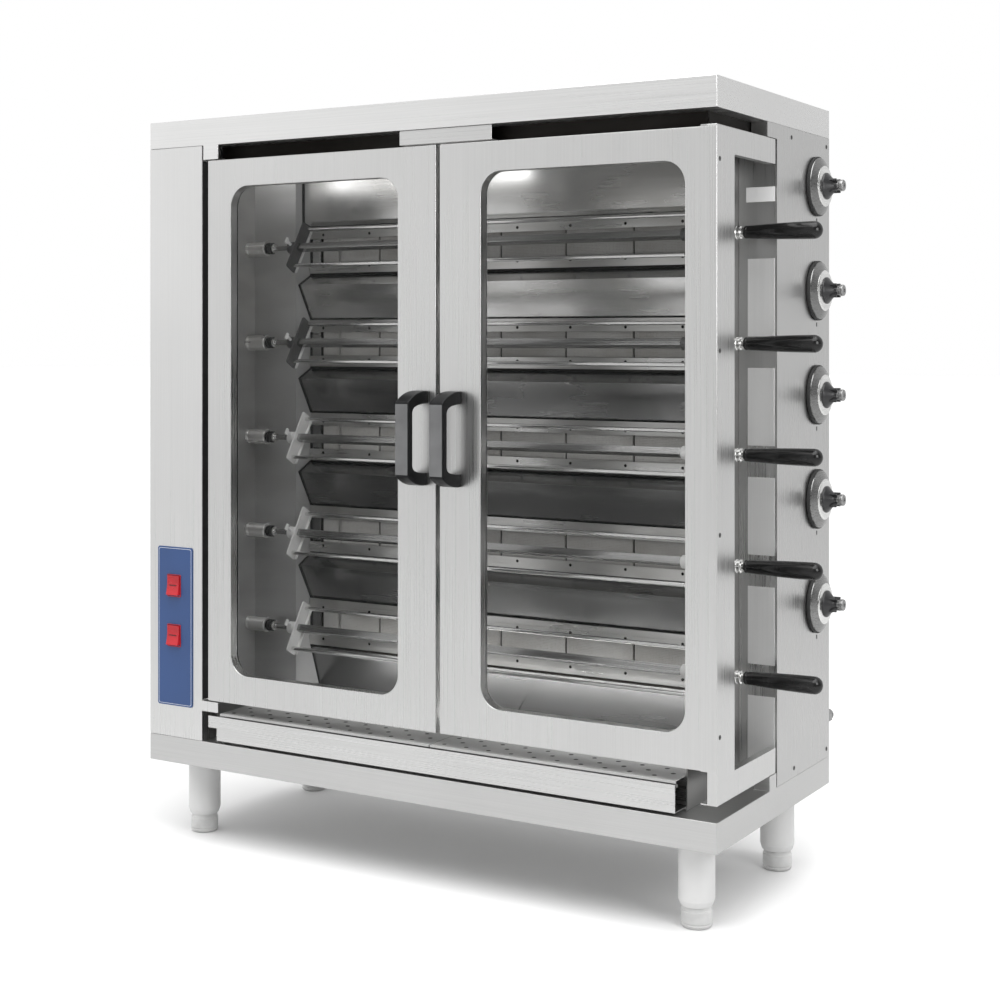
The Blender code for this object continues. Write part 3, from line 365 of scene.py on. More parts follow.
class Shape:
    """The geometry of one piece, gathered in cabinet coordinates."""

    def __init__(self):
        self.bm = bmesh.new()

    def block(self, low, high, bevel=EDGE, segments=2, turn=None):
        """A block with rounded edges; turn rotates it about its own middle."""
        low, high = Vector(low), Vector(high)
        place = Matrix.Translation((low + high) / 2) @ (turn or Matrix.Identity(4))
        made = bmesh.ops.create_cube(self.bm, size=1, matrix=place @ Matrix.Diagonal((*(high - low), 1)))
        if bevel:
            edges = list({edge for vert in made["verts"] for edge in vert.link_edges})
            bmesh.ops.bevel(self.bm, geom=edges, offset=bevel, segments=segments, profile=0.5,
                            affect="EDGES", clamp_overlap=True)
        return self

    def skin(self, first, second):
        """Faces between two rings of points, either of which may be one point."""
        count = max(len(first), len(second))
        for step in range(count):
            after = (step + 1) % count
            corners = [first[step % len(first)], first[after % len(first)],
                       second[after % len(second)], second[step % len(second)]]
            unique = [v for index, v in enumerate(corners) if v not in corners[:index]]
            if len(unique) > 2:
                self.bm.faces.new(unique)

    def lathe(self, place, axis, profile, steps=48):
        """A turned solid: profile is (radius, distance along the axis)."""
        matrix = Matrix.Translation(place) @ AXIS_TURN[axis]
        rings = []
        for radius, height in profile:
            sides = steps if radius > 1e-6 else 1
            points = [(*point, height) for point in circle(0, 0, radius, steps)[:sides]]
            rings.append([self.bm.verts.new(matrix @ Vector(point)) for point in points])
        for first, second in zip(rings, rings[1:]):
            self.skin(first, second)
        return self

    def rod(self, place, axis, length, radius, chamfer=0.0005, steps=24):
        """A round bar with small chamfers, running from a place along +axis."""
        profile = [(0, length), (radius - chamfer, length), (radius, length - chamfer), (radius, chamfer),
                   (radius - chamfer, 0), (0, 0)]
        return self.lathe(place, axis, profile, steps)

    def plate(self, plane, loops, low, high, bevel=0.0, resolution=2):
        """A flat plate from closed outlines, inner ones being holes, with rounded edges."""
        curve = bpy.data.curves.new("outline", "CURVE")
        curve.dimensions = "2D"
        curve.fill_mode = "BOTH"
        curve.extrude = (high - low) / 2 - bevel
        curve.bevel_depth = bevel
        curve.bevel_resolution = resolution
        curve.offset = -bevel
        for loop in loops:
            spline = curve.splines.new("POLY")
            spline.points.add(len(loop) - 1)
            spline.use_cyclic_u = True
            for point, (u, v) in zip(spline.points, loop):
                point.co = (u, v, 0, 1)
        source = linked("outline", curve)
        mesh = baked_mesh(source)
        bpy.data.objects.remove(source)
        mesh.transform(PLANE_TURN[plane] @ Matrix.Translation((0, 0, (low + high) / 2)))
        self.bm.from_mesh(mesh)
        return self

    def join(self, other):
        """Take in another shape's faces."""
        mesh = bpy.data.meshes.new("joined")
        other.bm.to_mesh(mesh)
        other.bm.free()
        self.bm.from_mesh(mesh)

    def turn(self, place, axis, angle):
        """Rotate everything made so far about an axis through a place."""
        matrix = Matrix.Rotation(angle, 3, axis)
        bmesh.ops.rotate(self.bm, verts=self.bm.verts, cent=place, matrix=matrix)
        return self

    def tool(self):
        """The shape as a loose object in the frame's coordinates."""
        bmesh.ops.remove_doubles(self.bm, verts=self.bm.verts, dist=1e-6)
        bmesh.ops.recalc_face_normals(self.bm, faces=self.bm.faces)
        bmesh.ops.translate(self.bm, verts=self.bm.verts, vec=CORNER)
        mesh = bpy.data.meshes.new("shape")
        self.bm.to_mesh(mesh)
        self.bm.free()
        return linked("shape", mesh)

    def piece(self, name, material, body, slot, *replaced):
        return dress(self.tool(), name, material, body, slot, *replaced)


def carve(obj, tools, operation="DIFFERENCE"):
    """Cut or join tools, and keep the result as the object's own mesh."""
    for tool in tools:
        boolean = obj.modifiers.new("boolean", "BOOLEAN")
        boolean.operation = operation
        boolean.solver = "EXACT"
        boolean.object = tool
    mesh = baked_mesh(obj)
    obj.modifiers.clear()
    obj.data = mesh
    for tool in tools:
        bpy.data.objects.remove(tool)
    return obj


def dress(obj, name, material, body, slot, *replaced):
    """Name, shade and colour a shape, and tie it to the frame."""
    obj.name = name
    mesh = obj.data
    mesh.name = name
    mesh.shade_smooth()
    mesh.set_sharp_from_angle(angle=math.radians(38))
    mesh.materials.clear()
    mesh.materials.append(MATERIALS[material])
    normals = obj.modifiers.new("even_shading", "WEIGHTED_NORMAL")
    normals.keep_sharp = True
    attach(obj, body)
    if replaced:
        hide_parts(*replaced)
    return obj


def refined(node, name, material, body, slot, bevel=EDGE):
    """A CAD sheet's own shape with rounded edges, in place of its node."""
    bm = bmesh.new()
    bm.from_mesh(NODES[node].data)
    bmesh.ops.remove_doubles(bm, verts=bm.verts, dist=1e-5)
    bmesh.ops.dissolve_limit(bm, angle_limit=math.radians(1), verts=bm.verts, edges=bm.edges)
    mesh = bpy.data.meshes.new(name)
    bm.to_mesh(mesh)
    bm.free()
    obj = linked(name, mesh)
    rounding = obj.modifiers.new("rounding", "BEVEL")
    rounding.width = bevel
    rounding.segments = 2
    rounding.limit_method = "ANGLE"
    rounding.angle_limit = math.radians(40)
    rounding.use_clamp_overlap = True
    return dress(obj, name, material, body, slot, node)


def rectangle(low_u, high_u, low_v, high_v, radius=0.0, steps=12):
    """A closed rectangle, with round corners where a radius is given."""
    if radius == 0:
        return [(low_u, low_v), (high_u, low_v), (high_u, high_v), (low_u, high_v)]
    centres = [(high_u - radius, high_v - radius), (low_u + radius, high_v - radius),
               (low_u + radius, low_v + radius), (high_u - radius, low_v + radius)]
    points = []
    for quarter, (u, v) in enumerate(centres):
        for step in range(steps + 1):
            angle = math.pi / 2 * (quarter + step / steps)
            points.append((u + radius * math.cos(angle), v + radius * math.sin(angle)))
    return points


def circle(u, v, radius, steps=16):
    """The points of a circle."""
    angles = [math.tau * step / steps for step in range(steps)]
    return [(u + radius * math.cos(a), v + radius * math.sin(a)) for a in angles]


def screw_heads(name, body, axis, places, radius):
    """Low domed heads with a shallow dish in their middle."""
    height = 0.0012
    profile = [(0, height * 0.55), (radius * 0.35, height * 0.6), (radius * 0.42, height),
               (radius * 0.75, height * 0.85), (radius, height * 0.3), (radius, 0), (0, 0)]
    heads = Shape()
    for place in places:
        heads.lathe(place, axis, profile, 20)
    heads.piece(name, "screw", body, "stainless")


# ---- cabinet


def cabinet_sheets():
    """Outer sheets and the reflector keep their CAD shape, with rounded folds."""
    for node, name, material, bevel in (
            ("base_frame", "base_shell", "steel_base", 0.0009),
            ("top_cover", "top_shell", "steel_cap", 0.0009),
            ("front_column", "column_front", "steel_column", 0.0008),
            ("left_side_panel", "left_side_sheet", "steel_side", EDGE),
            ("right_side_panel", "right_side_sheet", "steel_side", 0.0008),
            ("back_panel", "back_sheet", "steel_z", EDGE),
            ("top_rail", "top_channel", "steel_x", 0.0008)):
        refined(node, name, material, "cabinet", "stainless", bevel)
    refined("rear_reflector", "reflector_sheet", "reflector", "cabinet", "chamber_steel", FOLD)


def legs():
    """Turned sleeves with a chamfered end over ribbed feet."""
    for corner in ("front_left", "rear_left", "front_right", "rear_right"):
        low, high = node_box("leg_sleeve_" + corner)
        place = Vector((*node_middle("leg_sleeve_" + corner).xy, low.z))
        radius, length = (high.x - low.x) / 2, high.z - low.z
        wall, inside = 0.0045, 0.01
        sleeve = [(0, length), (radius, length), (radius, 0.011), (radius - 0.0008, 0.0085),
                  (radius - 0.0034, 0.0008), (radius - 0.0042, 0), (radius - wall, 0),
                  (radius - wall, inside), (0, inside)]
        Shape().lathe(place, "z", sleeve, 64).piece("sleeve_" + corner, "leg", "cabinet", "leg_steel",
                                                    "leg_sleeve_" + corner)
        foot_low, foot_high = node_box("levelling_foot_" + corner)
        foot, top = (foot_high.x - foot_low.x) / 2, low.z + 0.02
        profile = [(0, top), (foot - 0.0015, top), (foot - 0.0015, 0.03), (foot, 0.0285),
                   (foot, 0.0095), (foot - 0.0012, 0.0085), (foot - 0.0012, 0.007), (foot, 0.006),
                   (foot, 0.004), (foot - 0.002, 0.001), (foot - 0.006, 0), (0, 0)]
        place.z = 0
        Shape().lathe(place, "z", profile, 64).piece("foot_pad_" + corner, "foot", "foot_" + corner,
                                                     "foot_grey", "levelling_foot_" + corner)


# ---- doors


def leaf(door, window, right_edge):
    """A pan-shaped door leaf with rounded folds at its edge and its window."""
    overlap, radius = Vector((0.01, 0, 0.01)), 0.04
    low, high = window[0] + overlap, window[1] - overlap
    thickness, left = LEFT_DOOR[1].y, door[0].x
    bottom, top = RIGHT_LEAF_Z
    outer = rectangle(left, right_edge, bottom, top, 0.0015, 3)
    opening = rectangle(low.x, high.x, low.z, high.z, radius)
    body = Shape().plate("xz", [outer, opening], 0, thickness, FOLD).tool()
    outer = rectangle(left + SHEET, right_edge - SHEET, bottom + SHEET, top - SHEET)
    inner = rectangle(low.x - SHEET, high.x + SHEET, low.z - SHEET, high.z + SHEET, radius + SHEET)
    pocket = Shape().plate("xz", [outer, inner], SHEET, thickness + PAST).tool()
    return carve(body, [pocket])


def window_pane(side, window):
    """Glass with ground edges, the strip that holds it from behind and a dark seal in front."""
    low, high = window
    body = side + "_door"
    pane = rectangle(low.x, high.x, low.z, high.z, 0.03)
    Shape().plate("xz", [pane], low.y, high.y, 0.0006).piece(
        side + "_window_pane", "glass", body, "door_glass", side + "_door_glass")
    rings = [rectangle(low.x + inset, high.x - inset, low.z + inset, high.z - inset, radius)
             for inset, radius in ((0.0085, 0.0395), (0.0075, 0.038))]
    keeper = Shape().plate("xz", [pane, rings[0]], high.y + 0.0001, high.y + 0.0012, 0.0003)
    keeper.piece(side + "_pane_keeper", "steel_z", body, "stainless")
    seal = Shape().plate("xz", [pane, rings[1]], low.y - 0.0017, low.y - 0.0001, 0.0003)
    seal.piece(side + "_pane_seal", "rubber", body, "black_plastic")


def handle(side):
    """Bow handle: a flat front face on two ends that slope out from the door."""
    low, high = node_box(side + "_door_handle")
    middle = (low.z + high.z) / 2
    base, face = (high.z - low.z) / 2, 0.0645
    inlay = 0.0008
    reach, thickness = -low.y - inlay, 0.015
    outer = [(-GAP, base), (-0.01, base), (-0.02, base - 0.001), (-0.03, base - 0.0032),
             (-0.04, base - 0.0066), (-0.048, base - 0.0105), (-0.056, base - 0.0156),
             (-reach + 0.0012, face + 0.0014), (-reach, face - 0.001)]
    inner = [(-reach + thickness, face - 0.017), (-reach + thickness + 0.002, face - 0.0125),
             (-reach + thickness + 0.007, face - 0.0085), (-0.03, face - 0.0055), (-0.014, face - 0.003),
             (-GAP, face - 0.0025)]
    outline = outer + [(y, -z) for y, z in outer[::-1]] + [(y, -z) for y, z in inner[::-1]] + inner
    outline = [(y, middle + z) for y, z in outline]
    body = Shape().plate("yz", [outline], low.x, high.x, 0.0022, 3)
    body.piece(side + "_bow_handle", "grip", side + "_door", "black_plastic", side + "_door_handle")
    side_gap, end_gap = 0.0014, 0.002
    front = rectangle(low.x + side_gap, high.x - side_gap, middle - face + end_gap,
                      middle + face - end_gap, 0.001, 3)
    Shape().plate("xz", [front], low.y, low.y + 2 * inlay, 0.0003).piece(
        side + "_handle_face", "grip_face", side + "_door", "black_plastic")


def return_sheet():
    """The right door's C-shaped side: a hollow block with lips folded in round its cut-out."""
    low, high = RIGHT_DOOR
    flange, stile, arm, lip = WIDTH - 0.03, 0.072, 0.044, 0.013
    inset = 0.0001
    start = flange - PAST
    block = Shape().block((flange, inset, low.z), (WIDTH - inset, high.y, high.z), FOLD, 3).tool()
    corner = (WIDTH - 0.017, SHEET + GAP)
    bottom, top = RIGHT_LEAF_Z
    cuts = [((start, SHEET, low.z + SHEET), (WIDTH - SHEET, high.y + PAST, high.z - SHEET)),
            ((start, stile, low.z + arm), (WIDTH + PAST, high.y + 2 * PAST, high.z - arm)),
            ((start, -PAST, low.z - PAST), (*corner, bottom - GAP)),
            ((start, -PAST, top + GAP), (*corner, high.z + PAST))]
    carve(block, [Shape().block(*corners, 0).tool() for corners in cuts])
    inner = WIDTH - SHEET + GAP
    lips = [((inner - lip, stile - SHEET, low.z + arm), (inner, stile, high.z - arm)),
            ((inner - lip, stile - SHEET, low.z + arm - SHEET), (inner, high.y, low.z + arm)),
            ((inner - lip, stile - SHEET, high.z - arm), (inner, high.y, high.z - arm + SHEET))]
    return carve(block, [Shape().block(*corners, 0.0005).tool() for corners in lips], "UNION")


def door(side, box, right_edge, *joined):
    """A door's leaf, with what is joined to it, its pane and its handle."""
    window = node_box(side + "_door_glass")
    body = carve(leaf(box, window, right_edge), joined, "UNION")
    dress(body, side + "_door_leaf", "steel_z", side + "_door", "stainless", side + "_door_frame")
    window_pane(side, window)
    handle(side)


# ---- spits and their drive


def spit_piece(shape, part, material, number, *replaced):
    """A piece of a spit, leant back with its fork plates."""
    shape.turn(SPIT_AXES[number - 1], "X", SPIT_TILT)
    shape.piece(f"spit_{part}_{number}", material, f"spit_body_{number}", "spit_steel", *replaced)


def spit_bar(number, low, y, z):
    """Square end, thin shaft, square bar and round journal."""
    end, start, stop, half = 0.139, 0.196, 1.136, 0.007
    bar = Shape().block((start, y - half, z - half), (stop, y + half, z + half), 0.0012)
    bar.block((low.x, y - half, z - half), (end, y + half, z + half), 0.001)
    bar.rod((end - 0.003, y, z), "x", start - end + 0.007, 0.005, 0.0004)
    bar.rod((stop - 0.006, y, z), "x", 0.036, 0.01, 0.0006, 32)
    bar.rod((stop + 0.024, y, z), "x", 0.03, 0.0065)
    spit_piece(bar, "bar", "spit_dark", number, f"spit_{number}")


def spit_forks(number, y, z):
    """Two fork plates on hubs, with bright edges, and the wing screw of the left one."""
    half_width, half_height = 0.015, 0.053
    fork, edges = Shape(), Shape()
    outline = rectangle(y - half_width, y + half_width, z - half_height, z + half_height, 0.004, 4)
    for x in FORK_X:
        fork.plate("yz", [outline], x, x + FORK_THICKNESS, 0.0005)
        fork.rod((x - 0.021, y, z), "x", 0.0215, 0.012, 0.001, 32)
        face = x + FORK_THICKNESS
        edges.block((face - 0.0005, y + half_width - 0.0022, z - half_height + 0.002),
                    (face + 0.005, y + half_width + GAP, z + half_height - 0.002), 0.0006)
    wing = FORK_X[0] - 0.011
    edges.rod((wing, y - 0.024, z), "y", 0.013, 0.003, 0.0004, 16)
    edges.block((wing - 0.0022, y - 0.03, z - 0.0065), (wing + 0.0022, y - 0.023, z + 0.0065), 0.0012)
    # The same fork plates are painted lit on the lower spits and in shade on the upper ones
    spit_piece(fork, "fork", "fork" if number <= LIT_FORKS else "fork_dark", number)
    spit_piece(edges, "fork_edges", "fork", number)


def spit_rods(number, y, z):
    """Two side rods between the fork plates, with a nut at each end."""
    rods = Shape()
    start, end = FORK_X[0] + 0.0005, FORK_X[1] + FORK_THICKNESS
    nut_profile = [(0, 0.0042), (0.0058, 0.0042), (0.0065, 0.0036), (0.0065, 0.0006), (0.0058, 0), (0, 0)]
    for rod_z in (z - 0.043, z + 0.043):
        rods.rod((start, y, rod_z), "x", end - start, 0.004, 0.0006, 20)
        for nut in (start - 0.0045, end - 0.0002):
            rods.lathe((nut, y, rod_z), "x", nut_profile, 6)
    spit_piece(rods, "rods", "spit", number)


def spit(level):
    """Square bar on a thin drive shaft, two fork plates, two side rods and a journal."""
    number, axis = level + 1, SPIT_AXES[level]
    spit_bar(number, node_box(f"spit_{number}")[0], axis.y, axis.z)
    spit_forks(number, axis.y, axis.z)
    spit_rods(number, axis.y, axis.z)


def spit_rings(level):
    """Dark stop ring and pale washer beside the drive socket, and the stepped collar of the grip."""
    axis, number = SPIT_AXES[level], level + 1
    stop = [(0, 0.013), (0.0108, 0.013), (0.0115, 0.0122), (0.0115, 0.0078), (0.01, 0.007),
            (0.01, 0.006), (0.0115, 0.0052), (0.0115, 0.0008), (0.0108, 0), (0, 0)]
    washer = [(0, 0.0045), (0.009, 0.0045), (0.0096, 0.004), (0.0096, 0.0005), (0.009, 0), (0, 0)]
    collar = [(0, 0.0222), (0.008, 0.0222), (0.0086, 0.0216), (0.0086, 0.0178), (0.011, 0.0172),
              (0.0117, 0.0164), (0.0117, 0.012), (0.0108, 0.0112), (0.0108, 0.0098), (0.0117, 0.009),
              (0.0117, 0.001), (0.0108, 0), (0, 0)]
    for part, x, profile, steps, material, slot in (
            ("stop", 0.1428, stop, 36, "rubber", "black_plastic"),
            ("washer", 0.1566, washer, 36, "turned", "spit_steel"),
            ("collar", 1.164, collar, 40, "turned", "spit_steel")):
        Shape().lathe((x, axis.y, axis.z), "x", profile, steps).piece(
            f"spit_{part}_{number}", material, f"spit_body_{number}", slot)


def spit_handle(level):
    """Glossy tapered grip: waisted root, swelling body and domed end."""
    low, high = node_box(f"spit_handle_{level + 1}")
    length, radius = high.x - low.x, 0.015
    root = 0.0112
    profile = [(0, 0), (root - 0.0018, 0), (root - 0.0006, 0.0006), (root, 0.002), (root, 0.004),
               (root - 0.0008, 0.0052), (root, 0.007)]
    for step in range(1, 11):
        along = step / 10
        profile.append((root + (radius - root) * math.sin(math.pi / 2 * along),
                        0.007 + (length - 0.025) * along * 0.98))
    dome = 0.0135
    for step in range(0, 9):
        angle = math.pi / 2 * step / 8
        profile.append((radius * math.cos(angle), length - dome * (1 - math.sin(angle))))
    profile[-1] = (0, length)
    axis = SPIT_AXES[level]
    Shape().lathe((low.x, axis.y, axis.z), "x", profile, 48).piece(
        f"spit_grip_{level + 1}", "black", f"spit_body_{level + 1}", "black_plastic",
        f"spit_handle_{level + 1}")


def toothed(y, z, teeth=12):
    """Sprocket outline: round roots between narrow tips, each a share of one tooth's turn."""
    points = []
    tooth_shape = ((0.0, 0.005), (0.18, 0.0062), (0.36, 0.005), (0.52, 0.0012), (0.6, 0.0001),
                   (0.76, 0.0001), (0.84, 0.0012))
    for tooth in range(teeth):
        for part, inward in tooth_shape:
            angle = math.tau * (tooth + part) / teeth
            radius = WHEEL_RADIUS - inward
            points.append((y + radius * math.cos(angle), z + radius * math.sin(angle)))
    return points


def toothed_wheel(shape, y, z, hub):
    """Add a toothed wheel and its hub to a shaft."""
    shape.plate("yz", [toothed(y, z)], *WHEEL_X, 0.0004)
    shape.rod((WHEEL_X[1], y, z), "x", 0.008, hub, 0.0006, 32)


def drive_spindle(level):
    """Shaft and toothed wheel behind the wall, and the polished socket inside the chamber."""
    number, axis = level + 1, SPIT_AXES[level]
    body = f"spit_drive_{number}"
    y, z = axis.y, axis.z
    shaft = Shape().rod((node_box(f"drive_spindle_{number}")[0].x, y, z), "x", 0.08, 0.009, 0.0008, 32)
    toothed_wheel(shaft, y, z, 0.015)
    shaft.piece(f"drive_shaft_{number}", "drive", body, "drive_steel", f"drive_spindle_{number}")
    start, length, outer, inner = 0.0925, 0.048, 0.0155, 0.0102
    profile = [(inner, length), (outer - 0.001, length), (outer, length - 0.001), (outer, 0.008),
               (outer - 0.0008, 0.0072), (outer - 0.0008, 0.0056), (outer, 0.0048), (outer, 0), (0, 0),
               (0, 0.01), (inner, 0.01), (inner, length)]
    Shape().lathe((start, y, z), "x", profile, 48).piece(
        f"spit_socket_{number}", "socket", body, "spit_steel")


def on_chain(path, radius, bottom, top):
    """Place and heading at a distance along the chain: up, over the top wheel, down and under."""
    run, half_turn = top - bottom, math.pi * radius
    if path < run:
        return radius, bottom + path, math.pi / 2
    if path < run + half_turn:
        bend = (path - run) / radius
        return radius * math.cos(bend), top + radius * math.sin(bend), bend + math.pi / 2
    if path < 2 * run + half_turn:
        return -radius, top - (path - run - half_turn), math.pi / 2
    bend = math.pi + (path - 2 * run - half_turn) / radius
    return radius * math.cos(bend), bottom + radius * math.sin(bend), bend + math.pi / 2


def roller_chain(y, bottom, top):
    """Rollers joined by pairs of side plates, in an even number of links."""
    radius, link_length = 0.045, 0.0127
    once_round = 2 * (top - bottom + math.pi * radius)
    count = 2 * round(once_round / (2 * link_length))
    pitch = once_round / count
    half_plate = Vector((0.0006, pitch * 0.62, 0.003))
    chain = Shape()
    for link in range(count):
        across, height, angle = on_chain(link * pitch, radius, bottom, top)
        centre = Vector((sum(WHEEL_X) / 2, y + across, height))
        chain.rod(centre - Vector((0.003, 0, 0)), "x", 0.006, 0.0032, 0.0003, 10)
        offset = 0.0026 if link % 2 else 0.0018
        for side in (-offset, offset):
            middle = centre + Vector((side, 0, 0))
            chain.block(middle - half_plate, middle + half_plate, 0, turn=Matrix.Rotation(angle, 4, "X"))
    chain.piece("roller_chain", "drive", "cabinet", "drive_steel", "drive_chain")


def drive_train():
    """Motor wheel on its shaft, and the chain round all six wheels."""
    low, high = node_box("motor_sprocket")
    y, z = SPIT_AXES[0].y, node_middle("motor_sprocket").z
    wheel = Shape().rod((low.x, y, z), "x", high.x - low.x, 0.006, 0.0006, 32)
    toothed_wheel(wheel, y, z, 0.013)
    wheel.piece("motor_wheel", "drive", "motor_drive", "drive_steel", "motor_sprocket")
    roller_chain(y, z, SPIT_AXES[-1].z)


# ---- burners and gas


def burner(level):
    """A row of ceramic tiles in a steel case, behind riveted flanges above and below."""
    number, z = level + 1, SPIT_AXES[level].z
    low, high = node_box(f"burner_{number}")
    tiles, pitch, first, seam = 6, 0.1431, 0.2134, 0.0036
    face = Shape()
    for index in range(tiles):
        x = first + index * pitch
        face.block((x + seam / 2, low.y + 0.0002, z - 0.034),
                   (x + pitch - seam / 2, low.y + 0.012, z + 0.028), 0.0012)
    face.piece(f"burner_tiles_{number}", "tile", "cabinet", "burner_ceramic")
    right = 1.079
    casing = Shape().block((low.x, low.y + 0.004, low.z), (right, high.y, high.z), 0.0008)
    casing.rod((right - 0.001, 0.365, z - 0.003), "x", 0.059, 0.014, 0.001, 24)
    casing.piece(f"burner_casing_{number}", "soot", "cabinet", "burner_ceramic", f"burner_{number}")
    trim = Shape()
    for bottom, top, back in ((0.0345, 0.047, 0.002), (0.022, 0.0352, 0),
                              (-0.0405, -0.027, 0), (-0.049, -0.0398, 0.002)):
        trim.block((CHAMBER_X[0], FLANGE_Y + back, z + bottom),
                   (CHAMBER_X[1], FLANGE_Y + back + 0.0012, z + top), 0.0004)
    trim.block((0.256, FLANGE_Y + 0.001, z - 0.028), (0.261, FLANGE_Y + 0.0025, z + 0.023), 0.0004)
    trim.piece(f"burner_flange_{number}", "burner_frame", "cabinet", "chamber_steel")
    rivets = Shape()
    head = [(0, -0.0014), (0.002, -0.0012), (0.003, 0), (0, 0.0002)]
    for index in range(8):
        for rise in (0.03, -0.0345):
            rivets.lathe((0.2177 + 0.116 * index, FLANGE_Y, z + rise), "y", head, 14)
    rivets.piece(f"burner_rivets_{number}", "soot", "cabinet", "chamber_steel")


def zigzag():
    """Front edge of the reflector's left end, from the top down, as (y, z)."""
    back, fold = 0.2885, 0.248
    line = [(0.2615, 1.329), (0.2615, SPIT_AXES[-1].z + 0.056)]
    for axis in reversed(SPIT_AXES):
        line += [(back, axis.z + 0.047), (back, axis.z - 0.0525)]
        if axis is not SPIT_AXES[0]:
            line.append((fold, axis.z - 0.0735))
    return line + [(0.317, 0.265)]


def reflector_joints():
    """Dark seal along the reflector's left edge, the shield beside it, and black strips of painted shade
    under the burners.
    """
    wall, proud, half = 0.1793, 0.0016, 0.0022
    line = zigzag()
    seal = Shape()
    for (y0, z0), (y1, z1) in zip(line, line[1:]):
        way = Vector((0, y1 - y0, z1 - z0))
        middle = Vector((wall + half, (y0 + y1) / 2 - proud, (z0 + z1) / 2))
        reach = Vector((half, 0.0014, way.length / 2 + 0.001))
        turn = Matrix.Rotation(-math.atan2(way.y, way.z), 4, "X")
        seal.block(middle - reach, middle + reach, 0.0006, turn=turn)
    seal.piece("reflector_seal", "rubber", "cabinet", "black_plastic")
    corner, bottom, top = 0.2382, line[-1][1], line[0][1] - 0.001
    outline = [(corner, bottom), (corner, top)] + [(y - 2 * proud, min(z, top)) for y, z in line]
    Shape().plate("yz", [outline], wall - 0.0002, wall + 0.0002).piece(
        "shield_face", "shield", "cabinet", "chamber_steel")
    # Painted shade: black strips on the ledges under the burners, where deep shade falls
    shade_strips = Shape()
    for axis in SPIT_AXES:
        shade_strips.block((0.1856, FLANGE_Y + 0.0005, axis.z - 0.0535), (1.143, 0.2872, axis.z - 0.0488), 0.0005)
    shade_strips.piece("burner_shade_strips", "soot", "cabinet", "chamber_steel")


def knob_hub(face, y, z):
    """Cone with four fins, which stand on the diagonals."""
    cone = [(0, 0.04), (0.0086, 0.04), (0.0092, 0.036), (0.011, 0.0335), (0.0205, 0.024),
            (0.0238, 0.0215), (0.0246, 0.02), (0.0246, 0.016), (0, 0.016)]
    hub = Shape().lathe((face, y, z), "x", cone, 60)
    half = 0.0017
    for quarter in range(4):
        fin = Shape().block((face + 0.02, y - half, z + 0.004), (face + 0.0415, y + half, z + 0.0168),
                            0.0008)
        hub.join(fin.turn((face, y, z), "X", math.radians(45 + 90 * quarter)))
    return hub


def gas_knob(level):
    """Stepped control: black-edged dish, bright ring, black finned cone and steel spindle end."""
    number = level + 1
    y, z = node_middle(f"gas_knob_{number}").yz
    face, body = WIDTH + 2 * GAP, f"knob_body_{number}"
    rim = [(0, 0.006), (0.05, 0.006), (0.0535, 0.0058), (0.0546, 0.005), (0.055, 0.004),
           (0.055, 0.0008), (0.0542, 0), (0.004, 0), (0.004, -0.017), (0, -0.017)]
    dish = [(0, 0.0152), (0.0372, 0.0152), (0.038, 0.0148), (0.05, 0.0094), (0.0524, 0.0078),
            (0.0528, 0.0062), (0.052, 0.0056), (0, 0.0056)]
    ring = [(0.024, 0.0186), (0.033, 0.0182), (0.0362, 0.0172), (0.0374, 0.016), (0.0374, 0.015),
            (0.024, 0.015), (0.024, 0.0186)]
    tip = [(0, 0.049), (0.003, 0.049), (0.0036, 0.0525), (0.006, 0.053), (0.0092, 0.0524),
           (0.0103, 0.0512), (0.0105, 0.05), (0.0105, 0.0455), (0.0096, 0.044), (0.0082, 0.0432),
           (0.0082, 0.0395), (0, 0.0395)]
    place = (face, y, z)
    for part, material, shape, *replaced in (
            ("rim", "rubber", Shape().lathe(place, "x", rim, 72), f"gas_knob_{number}"),
            ("dish", "dial_dark", Shape().lathe(place, "x", dish, 72)),
            ("ring", "knob_bright", Shape().lathe(place, "x", ring, 72)),
            ("hub", "knob_black", knob_hub(face, y, z)),
            ("tip", "union", Shape().lathe(place, "x", tip, 40))):
        shape.piece(f"knob_{part}_{number}", material, body, "dial_metal", *replaced)
    mark = rectangle(y - 0.0016, y + 0.0016, z - 0.0665, z - 0.0585, 0.0015, 4)
    Shape().plate("yz", [mark], WIDTH - 0.0002, WIDTH + 0.0004, 0.0002).piece(
        f"knob_mark_{number}", "rubber", "cabinet", "dial_metal")


def gas_pipe():
    """The manifold keeps its CAD shape; its inlet gets a ribbed union ring and a lip."""
    x, z, end = 1.196, 0.265, node_box("gas_manifold")[1].y
    ring = [(0.0122, 0), (0.015, 0.0008), (0.015, 0.005), (0.014, 0.0056), (0.014, 0.0072),
            (0.015, 0.0078), (0.015, 0.0112), (0.0122, 0.012), (0.0105, 0.012), (0.0105, 0), (0.0122, 0)]
    lip = [(0.0101, 0), (0.0106, 0.0004), (0.0106, 0.0024), (0.0101, 0.0028), (0.0062, 0.0028),
           (0.0062, 0), (0.0101, 0)]
    for part, y, profile, steps in (("ring", DEPTH + 0.0006, ring, 48), ("lip", end - 0.003, lip, 40)):
        Shape().lathe((x, y, z), "y", profile, steps).piece(
            "gas_inlet_" + part, "union", "cabinet", "gas_brass")


# ---- tray


def hole_rows(left, right, front):
    """Small holes in staggered rows, from the front back to where the grid turns plain."""
    radius, pitch, row_pitch, first = 0.0046, 0.0462, 0.025, front + 0.018
    holes = []
    for row in range(math.ceil((HOLED_TO - first) / row_pitch)):
        x = left + 0.02 + (row % 2) * pitch / 2
        while x < right - 0.014:
            holes.append(circle(x, first + row * row_pitch, radius))
            x += pitch
    return holes


